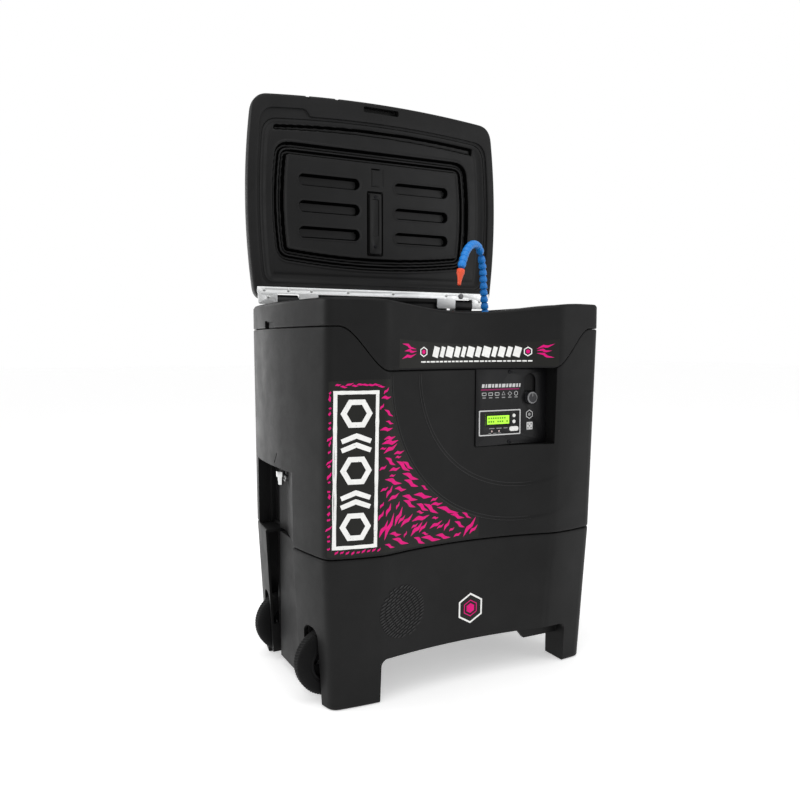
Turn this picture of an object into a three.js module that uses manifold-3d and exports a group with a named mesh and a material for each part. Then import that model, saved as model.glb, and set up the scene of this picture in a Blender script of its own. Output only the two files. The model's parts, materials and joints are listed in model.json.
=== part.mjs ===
// Parts washer tank: moulded base on four legs with two wheels in its left side, tank shell with a
// control panel, moulded top ring around a sink basin, hinged lid, segmented rinsing hose, and the
// pump, heater, float and filter inside.  Millimetres, +Z up, front towards -Y.
import * as THREE from 'three';
import { mergeVertices } from 'three/addons/utils/BufferGeometryUtils.js';
import Module from 'manifold-3d';

const wasm = await Module();
wasm.setup();

// ---------------------------------------------------------------- driving dimensions
const HW_FRONT = 391;        // half width between the front corners
const HW_BACK = 400;         // half width between the rear corners
const HALF_D = 267.5;        // half depth at the corners
const BULGE = 28;            // outward bow of the side walls at mid depth
const RIDGE_X = 246;         // soft vertical ridges either side of the hollow front
const RIDGE = 24;            // how far the ridges stand in front of the corners
const DIP_TOP = 52;          // hollow of the front between the ridges, upper part
const DIP_LOW = 38;          // the same, lower part
const CORNER = 24;           // plan corner radius
const BASE_TOP = 366;        // top of the base moulding
const TANK_BOTTOM = 368;     // underside of the tank moulding
const SEAM = 905;            // ring / tank seam at the corners
const SEAM_MID = 803;        // the same seam under the ring's front apron
const RIM = 970;             // top of the ring
const RIM_DIP = 26;          // dip of the front rim
const WALL = 7;              // moulded wall
const GAP = 0.5;             // running gap between mouldings

const OPEN_X = 316, OPEN_Y = 200;      // half opening in the ring
const AXIS_Y = 276, AXIS_Z = 986;      // lid hinge axis (along X)
const LID_IN = 262;                    // inner face of the open lid
const LID_T = 44;                      // lid thickness
const LID_BOT = 992, LID_TOP = 1580;   // open lid, lower edge and top of its bowed front edge

const WHEEL_R = 82, WHEEL_W = 44, WHEEL_X = -352, WHEEL_Z = 96, WHEEL_Y = 158;
const WELL = 32;                       // half width of a wheel well along Y
const PANEL_Y = -238;                  // front face of the control plate

const HOSE_X = 252, HOSE_Y = 72, HOSE_R = 11;   // foot and radius of the segmented hose
const HOSE_U = [-0.771, -0.637];                // plan direction in which the hose arches

// ---------------------------------------------------------------- helpers
function solid(geometry, matrix) {
  let g = geometry.clone();
  if (matrix) g.applyMatrix4(matrix);
  g.deleteAttribute('normal');
  g.deleteAttribute('uv');
  if (!g.index) g = mergeVertices(g, 1e-4); else g = mergeVertices(g, 1e-4);
  const idx = [];
  const src = g.index.array;
  for (let i = 0; i < src.length; i += 3) {
    if (src[i] !== src[i + 1] && src[i + 1] !== src[i + 2] && src[i] !== src[i + 2]) idx.push(src[i], src[i + 1], src[i + 2]);
  }
  return new wasm.Manifold(new wasm.Mesh({
    numProp: 3,
    vertProperties: new Float32Array(g.attributes.position.array),
    triVerts: new Uint32Array(idx),
  }));
}
function toGeometry(m) {
  const mesh = m.getMesh();
  const g = new THREE.BufferGeometry();
  const p = new Float32Array(mesh.numVert * 3);
  for (let i = 0; i < mesh.numVert; i++) for (let k = 0; k < 3; k++) p[3 * i + k] = mesh.vertProperties[i * mesh.numProp + k];
  g.setAttribute('position', new THREE.BufferAttribute(p, 3));
  g.setIndex(new THREE.BufferAttribute(new Uint32Array(mesh.triVerts), 1));
  g.computeVertexNormals();
  return g;
}
const join = (...a) => a.reduce((p, q) => p.add(q));
const cut = (a, ...b) => b.reduce((p, q) => p.subtract(q), a);

const box = (x0, x1, y0, y1, z0, z1) => solid(new THREE.BoxGeometry(x1 - x0, y1 - y0, z1 - z0)
  .translate((x0 + x1) / 2, (y0 + y1) / 2, (z0 + z1) / 2));
function poly(points) {
  return new THREE.Shape(points.map((p) => new THREE.Vector2(p[0], p[1])));
}
const extrude = (points, depth, steps = 1) => new THREE.ExtrudeGeometry(poly(points), { depth, steps, bevelEnabled: false });
// prisms: points in XY extruded along Z, in XZ extruded along Y, in YZ extruded along X
const prismXY = (pts, z0, z1) => solid(extrude(pts, z1 - z0).translate(0, 0, z0));
const prismXZ = (pts, y0, y1) => solid(extrude(pts, y1 - y0).rotateX(Math.PI / 2).translate(0, y1, 0));
const prismYZ = (pts, x0, x1) => solid(extrude(pts, x1 - x0).applyMatrix4(new THREE.Matrix4().set(
  0, 0, 1, x0, 1, 0, 0, 0, 0, 1, 0, 0, 0, 0, 0, 1)));
// rounded rectangle outline, counter-clockwise
function rr(x0, x1, y0, y1, r, n = 4) {
  const out = [];
  const c = [[x1 - r, y0 + r, -90], [x1 - r, y1 - r, 0], [x0 + r, y1 - r, 90], [x0 + r, y0 + r, 180]];
  for (const [cx, cy, a0] of c) {
    for (let i = 0; i <= n; i++) {
      const a = (a0 + 90 * i / n) * Math.PI / 180;
      out.push([cx + r * Math.cos(a), cy + r * Math.sin(a)]);
    }
  }
  return out;
}
const cylZ = (r, x, y, z0, z1, n = 16) => solid(new THREE.CylinderGeometry(r, r, z1 - z0, n).rotateX(Math.PI / 2).translate(x, y, (z0 + z1) / 2));
const cylY = (r, x, z, y0, y1, n = 16) => solid(new THREE.CylinderGeometry(r, r, y1 - y0, n).translate(x, (y0 + y1) / 2, z));
const cylX = (r, y, z, x0, x1, n = 16) => solid(new THREE.CylinderGeometry(r, r, x1 - x0, n).rotateZ(Math.PI / 2).translate((x0 + x1) / 2, y, z));
// lathe with its axis along Z: profile of [radius, z] pairs
const lathe = (pts, n = 20) => solid(new THREE.LatheGeometry(pts.map((p) => new THREE.Vector2(p[0], p[1])), n).rotateX(Math.PI / 2));
const move = (m, x, y, z) => m.translate([x, y, z]);
const lerp = (a, b, t) => a + (b - a) * t;
const smooth = (a, b, v) => { const t = Math.min(1, Math.max(0, (v - a) / (b - a))); return t * t * (3 - 2 * t); };

// ---------------------------------------------------------------- body plan
function frontOffset(x) {
  const a = Math.abs(x);
  if (a >= RIDGE_X) return -RIDGE * Math.sin(Math.PI / 2 * (HW_FRONT - Math.min(a, HW_FRONT)) / (HW_FRONT - RIDGE_X));
  return -RIDGE + DIP_TOP * (1 - (a / RIDGE_X) ** 2);
}
function planOutline(inset) {
  const front = [];
  for (const x of [-369, -345, -315, -280, -RIDGE_X, -210, -165, -110, -55, 0, 55, 110, 165, 210, RIDGE_X, 280, 315, 345, 369]) front.push([x, -HALF_D + frontOffset(x)]);
  const side = (t) => [lerp(HW_FRONT, HW_BACK, t) + BULGE * 4 * t * (1 - t), lerp(-HALF_D, HALF_D, t)];
  const t0 = CORNER / (2 * HALF_D);
  const right = [];
  for (let i = 0; i <= 8; i++) right.push(side(lerp(t0, 1 - t0, i / 8)));
  const back = [[HW_BACK - CORNER, HALF_D], [-(HW_BACK - CORNER), HALF_D]];
  const left = right.map((p) => [-p[0], p[1]]).reverse();
  const corner = (a, c, b) => {
    const out = [];
    for (let i = 1; i < 4; i++) {
      const t = i / 4;
      out.push([(1 - t) ** 2 * a[0] + 2 * t * (1 - t) * c[0] + t * t * b[0], (1 - t) ** 2 * a[1] + 2 * t * (1 - t) * c[1] + t * t * b[1]]);
    }
    return out;
  };
  const pts = [
    ...front,
    ...corner(front[front.length - 1], [HW_FRONT, -HALF_D], right[0]),
    ...right,
    ...corner(right[8], [HW_BACK, HALF_D], back[0]),
    ...back,
    ...corner(back[1], [-HW_BACK, HALF_D], left[0]),
    ...left,
    ...corner(left[8], [-HW_FRONT, -HALF_D], front[0]),
  ];
  if (!inset) return pts;
  const n = pts.length;
  return pts.map((p, i) => {
    const a = pts[(i + n - 1) % n], b = pts[(i + 1) % n];
    const nrm = (u, v) => { const dx = v[0] - u[0], dy = v[1] - u[1], l = Math.hypot(dx, dy); return [-dy / l, dx / l]; };
    const n1 = nrm(a, p), n2 = nrm(p, b);
    const mx = n1[0] + n2[0], my = n1[1] + n2[1], k = 2 / (mx * mx + my * my);
    return [p[0] + mx * inset * k, p[1] + my * inset * k];
  });
}
// taper of the mouldings with height
function bodyWarp(x, y, z) {
  const f = z >= SEAM ? 0 : z >= BASE_TOP ? (SEAM - z) / (SEAM - BASE_TOP) : 1;
  const g = z >= BASE_TOP ? 0 : (BASE_TOP - z) / BASE_TOP;
  const hw = HW_FRONT - 3 * f - 18 * g;
  const yf = HALF_D - 20 * f - 16 * g;
  const yb = HALF_D - 5 * f - 12 * g;
  const dip = lerp(DIP_TOP, DIP_LOW, f) - 16 * g;
  const ridge = RIDGE * (1 - 0.5 * g);
  const w = smooth(-150, -215, y);
  const a = Math.abs(x);
  const ridgeShape = a >= RIDGE_X ? Math.sin(Math.PI / 2 * (HW_FRONT - Math.min(a, HW_FRONT)) / (HW_FRONT - RIDGE_X)) : 1;
  let yy = y < 0 ? y * yf / HALF_D : y * yb / HALF_D;
  if (a < RIDGE_X) yy -= (DIP_TOP - dip) * (1 - (a / RIDGE_X) ** 2) * w;
  yy += (RIDGE - ridge) * ridgeShape * w;
  return [x * hw / HW_FRONT, yy, z];
}
// loft of one outline through several heights
function loft(points, levels, warp) {
  const n = levels.length - 1;
  const g = extrude(points, n, n);
  const p = g.attributes.position;
  for (let i = 0; i < p.count; i++) {
    const z = levels[Math.round(p.getZ(i))];
    const q = warp(p.getX(i), p.getY(i), z);
    p.setXYZ(i, q[0], q[1], q[2]);
  }
  return solid(g);
}
const OUT = planOutline(0);
const seamZ = (x) => SEAM_MID + (SEAM - SEAM_MID) * (x < 0 ? smooth(243, 366, -x) : smooth(230, 351, x));
const rimZ = (x) => RIM - RIM_DIP * (Math.abs(x) < 325 ? 0.5 + 0.5 * Math.cos(Math.PI * x / 325) : 0);
const seamXs = [-500, -366, -352, -338, -324, -311, -298, -285, -271, -257, -243, 230, 244, 257, 270, 284, 297, 310, 324, 338, 351, 500];
const belowSeam = (dz) => prismXZ([...seamXs.map((x) => [x, seamZ(x) + dz]), [500, 650], [-500, 650]].reverse(), -420, -213);
const aboveSeam = (dz) => prismXZ([...seamXs.map((x) => [x, seamZ(x) + dz]), [500, 1100], [-500, 1100]], -420, -213);
const rimXs = [-500, -325, -280, -235, -190, -145, -100, -50, 0, 50, 100, 145, 190, 235, 280, 325, 500];
const aboveRim = (dz) => prismXZ([...rimXs.map((x) => [x, rimZ(x) + dz]), [500, 1100], [-500, 1100]], -420, -190);

// ---------------------------------------------------------------- nodes
const group = new THREE.Group();
group.name = 'parts_washer_tank';
const LOOK = {
  shell: [0x1c1c1d, 0.62, 0.0], shell2: [0x18181a, 0.6, 0.0], liner: [0x151516, 0.55, 0.0], panel: [0x101012, 0.45, 0.0],
  steel: [0xcfd2d4, 0.35, 0.9], zinc: [0xb9bcbf, 0.4, 0.9], rubber: [0x1a1a1b, 0.85, 0.0], hub: [0x232325, 0.6, 0.0],
  lcd: [0x9be51a, 0.3, 0.0], button: [0xdadada, 0.5, 0.0], knob: [0x2b2b2e, 0.5, 0.0], blue: [0x2a8be0, 0.4, 0.0],
  orange: [0xf2542d, 0.4, 0.0], grey: [0x77797c, 0.6, 0.0], white: [0xe6e6e6, 0.6, 0.0], pump: [0x3a3d42, 0.5, 0.1],
  float: [0xe8e2d0, 0.6, 0.0], filter: [0x8d9aa3, 0.8, 0.0], pcb: [0x26282b, 0.5, 0.0], led: [0xd42a2a, 0.3, 0.0],
};
function add(name, m, look) {
  const [color, roughness, metalness] = LOOK[look];
  const mesh = new THREE.Mesh(toGeometry(m), new THREE.MeshStandardMaterial({ color, roughness, metalness }));
  mesh.name = name;
  group.add(mesh);
  return mesh;
}

// ---- base moulding: open below, legs solid at their feet, wheel wells in the left side
{
  let b = loft(OUT, [0, 110, 240, BASE_TOP], bodyWarp);
  const inner = loft(planOutline(WALL), [104, 240, BASE_TOP - 7], bodyWarp);
  b = cut(b, inner,
    prismXZ(rr(-248, 307, -40, 108, 18, 3), -400, 400),         // gap between the left and right legs
    box(300, 500, -163, 182, -10, 108),                         // gap between the right legs
    box(-374, -240, -128, 128, -10, 106),                       // hollow behind the left skirt
    box(-470, -371, -128, 128, -10, 26),                        // lower edge of the left skirt
    prismYZ(rr(-WHEEL_Y - WELL, -WHEEL_Y + WELL, -40, 188, 26, 3), -480, -262),       // front wheel well
    prismYZ(rr(WHEEL_Y - WELL, WHEEL_Y + WELL, -40, 188, 26, 3), -480, -262),         // rear wheel well
    box(-480, -386, -92, 86, 20, 400),                          // flat panel between the wheels
    box(-480, -362, 86, 118, 20, 400));                         // upright channel
  const channel = join(cut(box(-380, -355, 79, 125, 27, 362), box(-480, -362, 86, 118, 0, 400)), box(-378, -360, 94, 98, 27, 362));
  const ribs = join(box(-377, -296, -125, -116, 30, 150), box(-377, -296, 116, 125, 30, 150),
    prismXZ([[165, 112], [198, 72], [309, 72], [309, 112]].reverse(), -208, -196));
  b = join(b, channel, ribs, box(-386, -378.5, -99, 90, 26, 362));
  b = cut(b, cylY(8.5, WHEEL_X, WHEEL_Z, -216, -105, 12), cylY(8.5, WHEEL_X, WHEEL_Z, 105, 216, 12));
  // right-hand channel, mirror of the left one
  b = cut(b, box(386, 480, -92, 86, 130, 400), box(372, 480, 86, 118, 130, 400));
  b = join(b, cut(box(365, 380, 79, 125, 112, 362), box(372, 480, 86, 118, 0, 400)), box(378.5, 386, -99, 90, 112, 362));
  add('base_shell', b, 'shell');
}

// ---- tank moulding
const recessL = (o) => prismXY([[-480, 205 + o], [-373 + o, 205 + o], [-373 + o, 70], [-408 + o, -95 - 2 * o], [-480, -95 - 2 * o]].reverse(), 300, 552 + o);
const recessR = (o) => prismXY([[480, 205 + o], [373 - o, 205 + o], [373 - o, 70], [408 - o, -95 - 2 * o], [480, -95 - 2 * o]], 300, 552 + o);
{
  let t = loft(OUT, [TANK_BOTTOM, 640, SEAM - 1], bodyWarp);
  let inner = loft(planOutline(WALL), [TANK_BOTTOM + 7, 640, SEAM + 5], bodyWarp);
  inner = cut(inner, recessL(WALL), recessR(WALL), box(12, 250, -400, -223, 597, 892));
  t = cut(t, inner, recessL(0), recessR(0), aboveSeam(-1));
  t = cut(t,
    box(20.5, 241, -420, -231, 605, 1000),                       // recess of the control panel
    box(-480, -366, 128, 196, 360, 546),                         // deeper slot at the back of the left recess
    box(41.5, 203.5, -240, -200, 619, 743),                      // opening behind the control plate
    cylX(6.5, 60, 514, -400, -340, 16),                          // drain coupling
    cylY(9.5, 300, 470, 240, 280, 16),                           // cable gland
    cylY(31, -150, 430, 240, 280, 18));                          // heater flange
  // backs of the deeper slots
  t = join(t, cut(box(-373, -352, 121, 203, 372, 553), box(-400, -359, 128, 196, 0, 546)));
  add('tank_shell', t, 'shell');
}

// ---- top ring with its front apron
{
  let r = loft(OUT, [798, SEAM, RIM], bodyWarp);
  const opening = prismXY(rr(-OPEN_X, OPEN_X, -OPEN_Y, OPEN_Y, 30), 600, 1100);
  const openWall = prismXY(rr(-OPEN_X - WALL, OPEN_X + WALL, -OPEN_Y - WALL, OPEN_Y + WALL, 36), 500, 1200);
  let cavity = loft(planOutline(WALL), [780, SEAM, RIM - 12], bodyWarp);
  cavity = cut(cavity, openWall, aboveRim(-WALL));
  r = cut(r, cavity, opening, aboveRim(0), belowSeam(0), box(-500, 500, -213.5, 400, 600, SEAM),
    box(-500, 500, 232, 400, 962.5, 1000),                       // rebate for the hinge leaf
    box(-500, -413, 56, 84, 880, 924));                          // small catch recess in the left side
  add('top_ring', r, 'shell');
}

// ---- sink basin
{
  const fun = (s) => (x, y, z) => (z < 745 ? [x * s, y * s, z] : z < 800 ? [x * 0.95, y * 0.93, z] : [x, y, z]);
  const rectO = rr(-OPEN_X + 1, OPEN_X - 1, -OPEN_Y + 1, OPEN_Y - 1, 30, 3);
  const rectI = rr(-OPEN_X + 6, OPEN_X - 6, -OPEN_Y + 6, OPEN_Y - 6, 26, 3);
  let b = loft(rectO, [727, 752, 904], fun(0.2));
  b = join(b, prismXY(rr(-OPEN_X - 20, OPEN_X + 20, -OPEN_Y - 18, OPEN_Y + 18, 34, 2), 899, 904));
  b = cut(b, loft(rectI, [732, 757, 910], fun(0.2)));
  // raised shelf for the hose, in the rear right corner
  b = join(b, box(196, 305, 26, 192, 770, 925));
  b = cut(b, box(202, 299, 32, 186, 700, 919), cylZ(7.8, HOSE_X, HOSE_Y, 900, 940, 10));
  b = join(b, cylZ(33, 0, 0, 700, 731, 20));
  b = cut(b, cylZ(28.5, 0, 0, 690, 800, 20));
  add('sink_basin', b, 'shell2');
}
{
  let s = lathe([[0, 729], [27.6, 729], [27.6, 733.5], [37, 733.5], [37, 737], [0, 737]], 20);
  s = cut(s, lathe([[0, 733], [23.5, 733], [23.5, 740], [0, 740]], 16));
  for (let i = 0; i < 6; i++) s = cut(s, cylZ(4, 14 * Math.cos(i * Math.PI / 3), 14 * Math.sin(i * Math.PI / 3), 720, 745, 6));
  s = join(s, cylZ(3, 0, 0, 732, 748, 6), cylZ(7, 0, 0, 746, 751, 10));
  add('drain_strainer', s, 'steel');
}
{
  let f = lathe([[0, 640], [46, 640], [52, 718], [52, 722], [33.6, 722], [33.6, 716], [47, 716], [42, 644], [0, 644]], 20);
  add('filter_cup', f, 'filter');
  add('filter_pad', lathe([[0, 644.6], [40.5, 644.6], [41.5, 662], [0, 662]], 16), 'white');
}

// ---- pump, supply pipe, heater, level float
{
  let p = lathe([[0, 375.6], [58, 375.6], [58, 398], [50, 402], [50, 470], [42, 480], [16, 480], [16, 496], [0, 496]], 18);
  p = cut(p, lathe([[0, 381], [40, 381], [40, 396], [0, 396]], 16), cylZ(10, 0, 0, 390, 500, 12));
  for (let i = 0; i < 6; i++) {
    p = cut(p, solid(new THREE.BoxGeometry(40, 10, 9).translate(46, 0, 388).rotateZ(i * Math.PI / 3)));
  }
  add('pump_housing', move(p, 150, 60, 0), 'pump');
  let im = join(cylZ(34, 0, 0, 382.5, 385, 16), cylZ(7, 0, 0, 382.5, 440, 8));
  for (let i = 0; i < 6; i++) im = join(im, solid(new THREE.BoxGeometry(28, 3, 10).translate(19, 0, 389).rotateZ(i * Math.PI / 3)));
  add('pump_impeller', move(im, 150, 60, 0), 'grey');
}
{
  const path = new THREE.CatmullRomCurve3([[150, 60, 497], [150, 60, 540], [170, 62, 585], [232, 70, 625], [252, 72, 670], [252, 72, 760], [252, 72, 896]].map((p) => new THREE.Vector3(...p)), false, 'centripetal');
  const ring = [];
  for (let i = 0; i < 8; i++) ring.push(new THREE.Vector2(9 * Math.cos(i * Math.PI / 4), 9 * Math.sin(i * Math.PI / 4)));
  add('supply_pipe', solid(new THREE.ExtrudeGeometry(new THREE.Shape(ring), { steps: 12, extrudePath: path, bevelEnabled: false })), 'blue');
}
{
  const u = [[-162, 252, 430], [-162, 100, 430], [-162, -20, 430], [-158, -36, 430], [-150, -42, 430], [-142, -36, 430], [-138, -20, 430], [-138, 100, 430], [-138, 252, 430]];
  const path = new THREE.CatmullRomCurve3(u.map((p) => new THREE.Vector3(...p)), false, 'centripetal');
  const ring = [];
  for (let i = 0; i < 6; i++) ring.push(new THREE.Vector2(5 * Math.cos(i * Math.PI / 3), 5 * Math.sin(i * Math.PI / 3)));
  const rod = solid(new THREE.ExtrudeGeometry(new THREE.Shape(ring), { steps: 16, extrudePath: path, bevelEnabled: false }));
  const flange = join(cylY(30, -150, 430, 250, 268, 18), cylY(40, -150, 430, 264.5, 272, 18), cylY(14, -150, 430, 270, 292, 12));
  add('heater_element', join(rod, flange), 'steel');
}
add('level_rod', join(cylZ(4.5, -40, 60, 375.6, 600, 10), cylZ(14, -40, 60, 375.6, 380, 12), cylZ(10, -40, 60, 596, 602, 12)), 'steel');
add('level_float', move(lathe([[5.2, 0], [24, 0], [27, 4], [27, 26], [24, 30], [5.2, 30], [5.2, 0]], 16), -40, 60, 380.6), 'float');

// ---- wheels on stub axles
for (const [tag, s] of [['front', -1], ['rear', 1]]) {
  const y = s * WHEEL_Y;
  let tyre = lathe([[50.4, -WHEEL_W / 2], [70, -WHEEL_W / 2], [78, -WHEEL_W / 2 + 4], [WHEEL_R, -10], [WHEEL_R, 10], [78, WHEEL_W / 2 - 4], [70, WHEEL_W / 2], [50.4, WHEEL_W / 2], [50.4, -WHEEL_W / 2]], 28);
  add(`wheel_${tag}_tyre`, tyre.rotate([90, 0, 0]).translate([WHEEL_X, y, WHEEL_Z]), 'rubber');
  let hub = lathe([[8.5, -23], [16, -23], [16, -6], [42, -6], [42, -20], [50, -20], [50, 20], [42, 20], [42, 6], [16, 6], [16, 23], [8.5, 23], [8.5, -23]], 20);
  add(`wheel_${tag}_hub`, hub.rotate([90, 0, 0]).translate([WHEEL_X, y, WHEEL_Z]), 'hub');
  const a = s < 0 ? cylY(8, WHEEL_X, WHEEL_Z, -214, -107, 12) : cylY(8, WHEEL_X, WHEEL_Z, 107, 214, 12);
  const clip = s < 0 ? cylY(13, WHEEL_X, WHEEL_Z, -131, -125.6, 12) : cylY(13, WHEEL_X, WHEEL_Z, 125.6, 131, 12);
  add(`axle_${tag}`, join(a, clip), 'zinc');
}

// ---- lid shell (open, upright)
const lidHW = (z) => { const t = (z - LID_BOT) / (1560 - LID_BOT); return lerp(392, 391, t) + 20 * 4 * t * (1 - t); };
function lidOutline(inset, zb, zt, crown) {
  const side = [];
  const z0 = zb + 34, z1 = zt - 44;
  for (let i = 0; i <= 8; i++) { const z = lerp(z0, z1, i / 8); side.push([lidHW(z) - inset, z]); }
  const q = (a, c, b) => [1, 2, 3, 4].map((i) => { const t = i / 5; return [(1 - t) ** 2 * a[0] + 2 * t * (1 - t) * c[0] + t * t * b[0], (1 - t) ** 2 * a[1] + 2 * t * (1 - t) * c[1] + t * t * b[1]]; });
  const top = [];
  const w = lidHW(zt) - inset - 40;
  for (let i = 0; i <= 10; i++) { const x = lerp(w, -w, i / 10); top.push([x, zt + crown * (1 - (x / (w + 40)) ** 2)]); }
  const bot = [[-(lidHW(zb) - inset - 26), zb], [lidHW(zb) - inset - 26, zb]];
  const left = side.map((p) => [-p[0], p[1]]).reverse();
  return [...bot, ...q(bot[1], [lidHW(zb) - inset, zb], side[0]), ...side, ...q(side[8], [lidHW(zt) - inset, zt], top[0]),
    ...top, ...q(top[10], [-(lidHW(zt) - inset), zt], left[0]), ...left, ...q(left[8], [-(lidHW(zb) - inset), zb], bot[0])];
}
const LID_EDGE = 36;
{
  const pts = lidOutline(0, LID_BOT, 1560, 20);
  const zc = (LID_BOT + LID_TOP) / 2;
  // the outer face is a little smaller all round
  const g = extrude(pts, 3, 3);
  const p = g.attributes.position;
  const ys = [LID_IN, LID_IN + 22, LID_IN + 36, LID_IN + LID_T], sc = [1, 1, 0.992, 0.972];
  for (let i = 0; i < p.count; i++) {
    const k = 3 - Math.round(p.getZ(i));
    p.setXYZ(i, p.getX(i) * sc[k], ys[k], zc + (p.getY(i) - zc) * sc[k]);
  }
  let l = solid(g);
  const pocket = prismXZ(lidOutline(LID_EDGE, 1040, 1496, 18), LID_IN - 5, LID_IN + LID_T - 6);
  l = cut(l, pocket,
    prismXZ(lidOutline(LID_EDGE - 8, 1034, 1503, 18), LID_IN - 5, LID_IN + 6),          // step around the liner
    prismXZ(rr(-372, -232, 1440, 1524, 10, 3), LID_IN - 5, LID_IN + 6),                 // raised left part of the step
    prismXZ(rr(-56, 60, 1550, 1567, 4, 2), LID_IN - 5, LID_IN + 24),                    // finger slot
    box(-237, -224, 250, 275, 1565, 1600), box(-146, -133, 250, 275, 1571, 1600),
    box(-347, -246, 250, 320, 980, 1011), box(244, 343, 250, 320, 980, 1011));          // clearance for the hinges
  add('lid_shell', l, 'shell');
}
{
  const y0 = LID_IN + 12, y1 = LID_IN + LID_T - 7;
  const MX = -10;                                              // the pressed pattern sits a little left of the middle
  const face = lidOutline(LID_EDGE + 0.6, 1040.6, 1495.4, 18);
  let s = prismXZ(face, y0, y0 + 6);
  // frame groove: bowed sides and lower edge
  const bowed = (e) => {
    const out = [];
    const hw = 302 - e, zb = 1110 + e, zt = 1437 - e, r = 30;
    for (let i = 0; i <= 4; i++) { const x = lerp(-hw + r, hw - r, i / 4); out.push([MX + x, zb - 20 * (1 - (x / hw) ** 2)]); }
    for (let i = 0; i <= 4; i++) { const z = lerp(zb + r, zt - r, i / 4), t = (z - zb) / (zt - zb); out.push([MX + hw + 26 * 4 * t * (1 - t), z]); }
    for (let i = 0; i <= 1; i++) out.push([MX + (hw - r) * (1 - 2 * i), zt]);
    for (let i = 4; i >= 0; i--) { const z = lerp(zb + r, zt - r, i / 4), t = (z - zb) / (zt - zb); out.push([MX - hw - 26 * 4 * t * (1 - t), z]); }
    return out;
  };
  const moatO = bowed(0), moatI = bowed(28);
  s = join(s, prismXZ(bowed(-5), y0 + 1, y0 + 18));
  s = cut(s, cut(prismXZ(moatO, y0 - 5, y0 + 13), prismXZ(moatI, y0 - 6, y0 + 14)));
  s = cut(s, prismXZ(bowed(33), y0 + 6, y0 + 30));
  for (const zc of [1339, 1263, 1189]) {
    for (const [x0, x1] of [[-257, -66], [52, 239]]) {
      s = join(s, prismXZ(rr(x0 - 4, x1 + 4, zc - 20, zc + 20, 19.9, 2), y0 + 1, y0 + 22));
      s = cut(s, prismXZ(rr(x0, x1, zc - 16, zc + 16, 15.9, 3), y0 - 5, y0 + 18));
    }
  }
  s = cut(s, prismXZ(rr(-25, 14, 1340, 1390, 2, 1), y0 - 5, y0 + 1.5));
  add('lid_liner', s, 'liner');
  let plate = prismXZ(rr(-34, 6, 1137, 1317, 5, 2), y0 - 4.4, y0 - 0.4);
  plate = cut(plate, prismXZ(rr(-26, -4, 1190, 1300, 4, 2), y0 - 6, y0 - 2.2), cylY(2.8, -15, 1308, y0 - 10, y0 + 5, 8), cylY(2.8, -15, 1160, y0 - 10, y0 + 5, 8));
  add('lid_tool_plate', plate, 'liner');
  for (const [tag, z] of [['upper', 1308], ['lower', 1160]]) {
    add(`tool_plate_screw_${tag}`, join(cylY(5, -15, z, y0 - 7, y0 - 4.7, 8), cylY(2.0, -15, z, y0 - 5, y0 - 0.4, 6)), 'zinc');
  }
}

// ---- hinge: steel leaf on the lid, two moulded blocks on the ring, a pin in each
{
  const y0 = LID_IN - 3.6, y1 = LID_IN - 0.6;
  let leaf = box(-388, 388, y0, y1, 1008, 1027);
  const tabs = [[-386, -329], [-264, -205], [195, 262], [325, 386]];
  for (const [x0, x1] of tabs) leaf = join(leaf, prismXZ(rr(x0, x1, 978, 1012, 4, 1), y0, y1));
  for (const [x0, x1] of [[-345, -329], [-264, -248], [246, 262], [325, 341]]) {
    leaf = join(leaf, cylX(8, AXIS_Y, AXIS_Z, x0, x1, 12), box(x0, x1, y1 - 1, AXIS_Y - 5, AXIS_Z - 4, AXIS_Z + 3));
  }
  leaf = cut(leaf, cylX(4.8, AXIS_Y, AXIS_Z, -400, 400, 12));
  const screws = [[-368, 1018], [-357, 999], [-296, 1018], [-226, 1018], [-110, 1018], [40, 1018], [228, 1018], [352, 1003]];
  for (const [x, z] of screws) leaf = cut(leaf, cylY(2.6, x, z, y0 - 5, y1 + 5, 6));
  leaf = cut(leaf, cylY(3.2, 282, 1017.5, y0 - 5, y1 + 5, 8));
  add('hinge_leaf', leaf, 'steel');
  screws.forEach(([x, z], i) => add(`hinge_screw_${i + 1}`, join(cylY(4, x, z, y0 - 2.2, y0 - 0.3, 8), cylY(1.9, x, z, y0 - 1, y1 + 0.2, 6)), 'zinc'));
  add('lid_buffer', join(cylY(8.5, 282, 1017.5, y0 - 4.3, y0 - 0.3, 12), cylY(2.5, 282, 1017.5, y0 - 1, y1 + 0.2, 8)), 'grey');
  for (const [tag, x0, x1] of [['left', -328.4, -264.6], ['right', 262.6, 324.4]]) {
    let blk = join(cylX(20, AXIS_Y, AXIS_Z, x0, x1, 20), box(x0, x1, 268.2, 296, 916, AXIS_Z));
    blk = cut(blk, cylX(4.8, AXIS_Y, AXIS_Z, x0 - 5, x1 + 5, 12));
    add(`hinge_block_${tag}`, blk, 'shell2');
    add(`hinge_pin_${tag}`, cylX(4, AXIS_Y, AXIS_Z, x0 - 17, x1 + 17, 12), 'zinc');
  }
}

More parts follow.
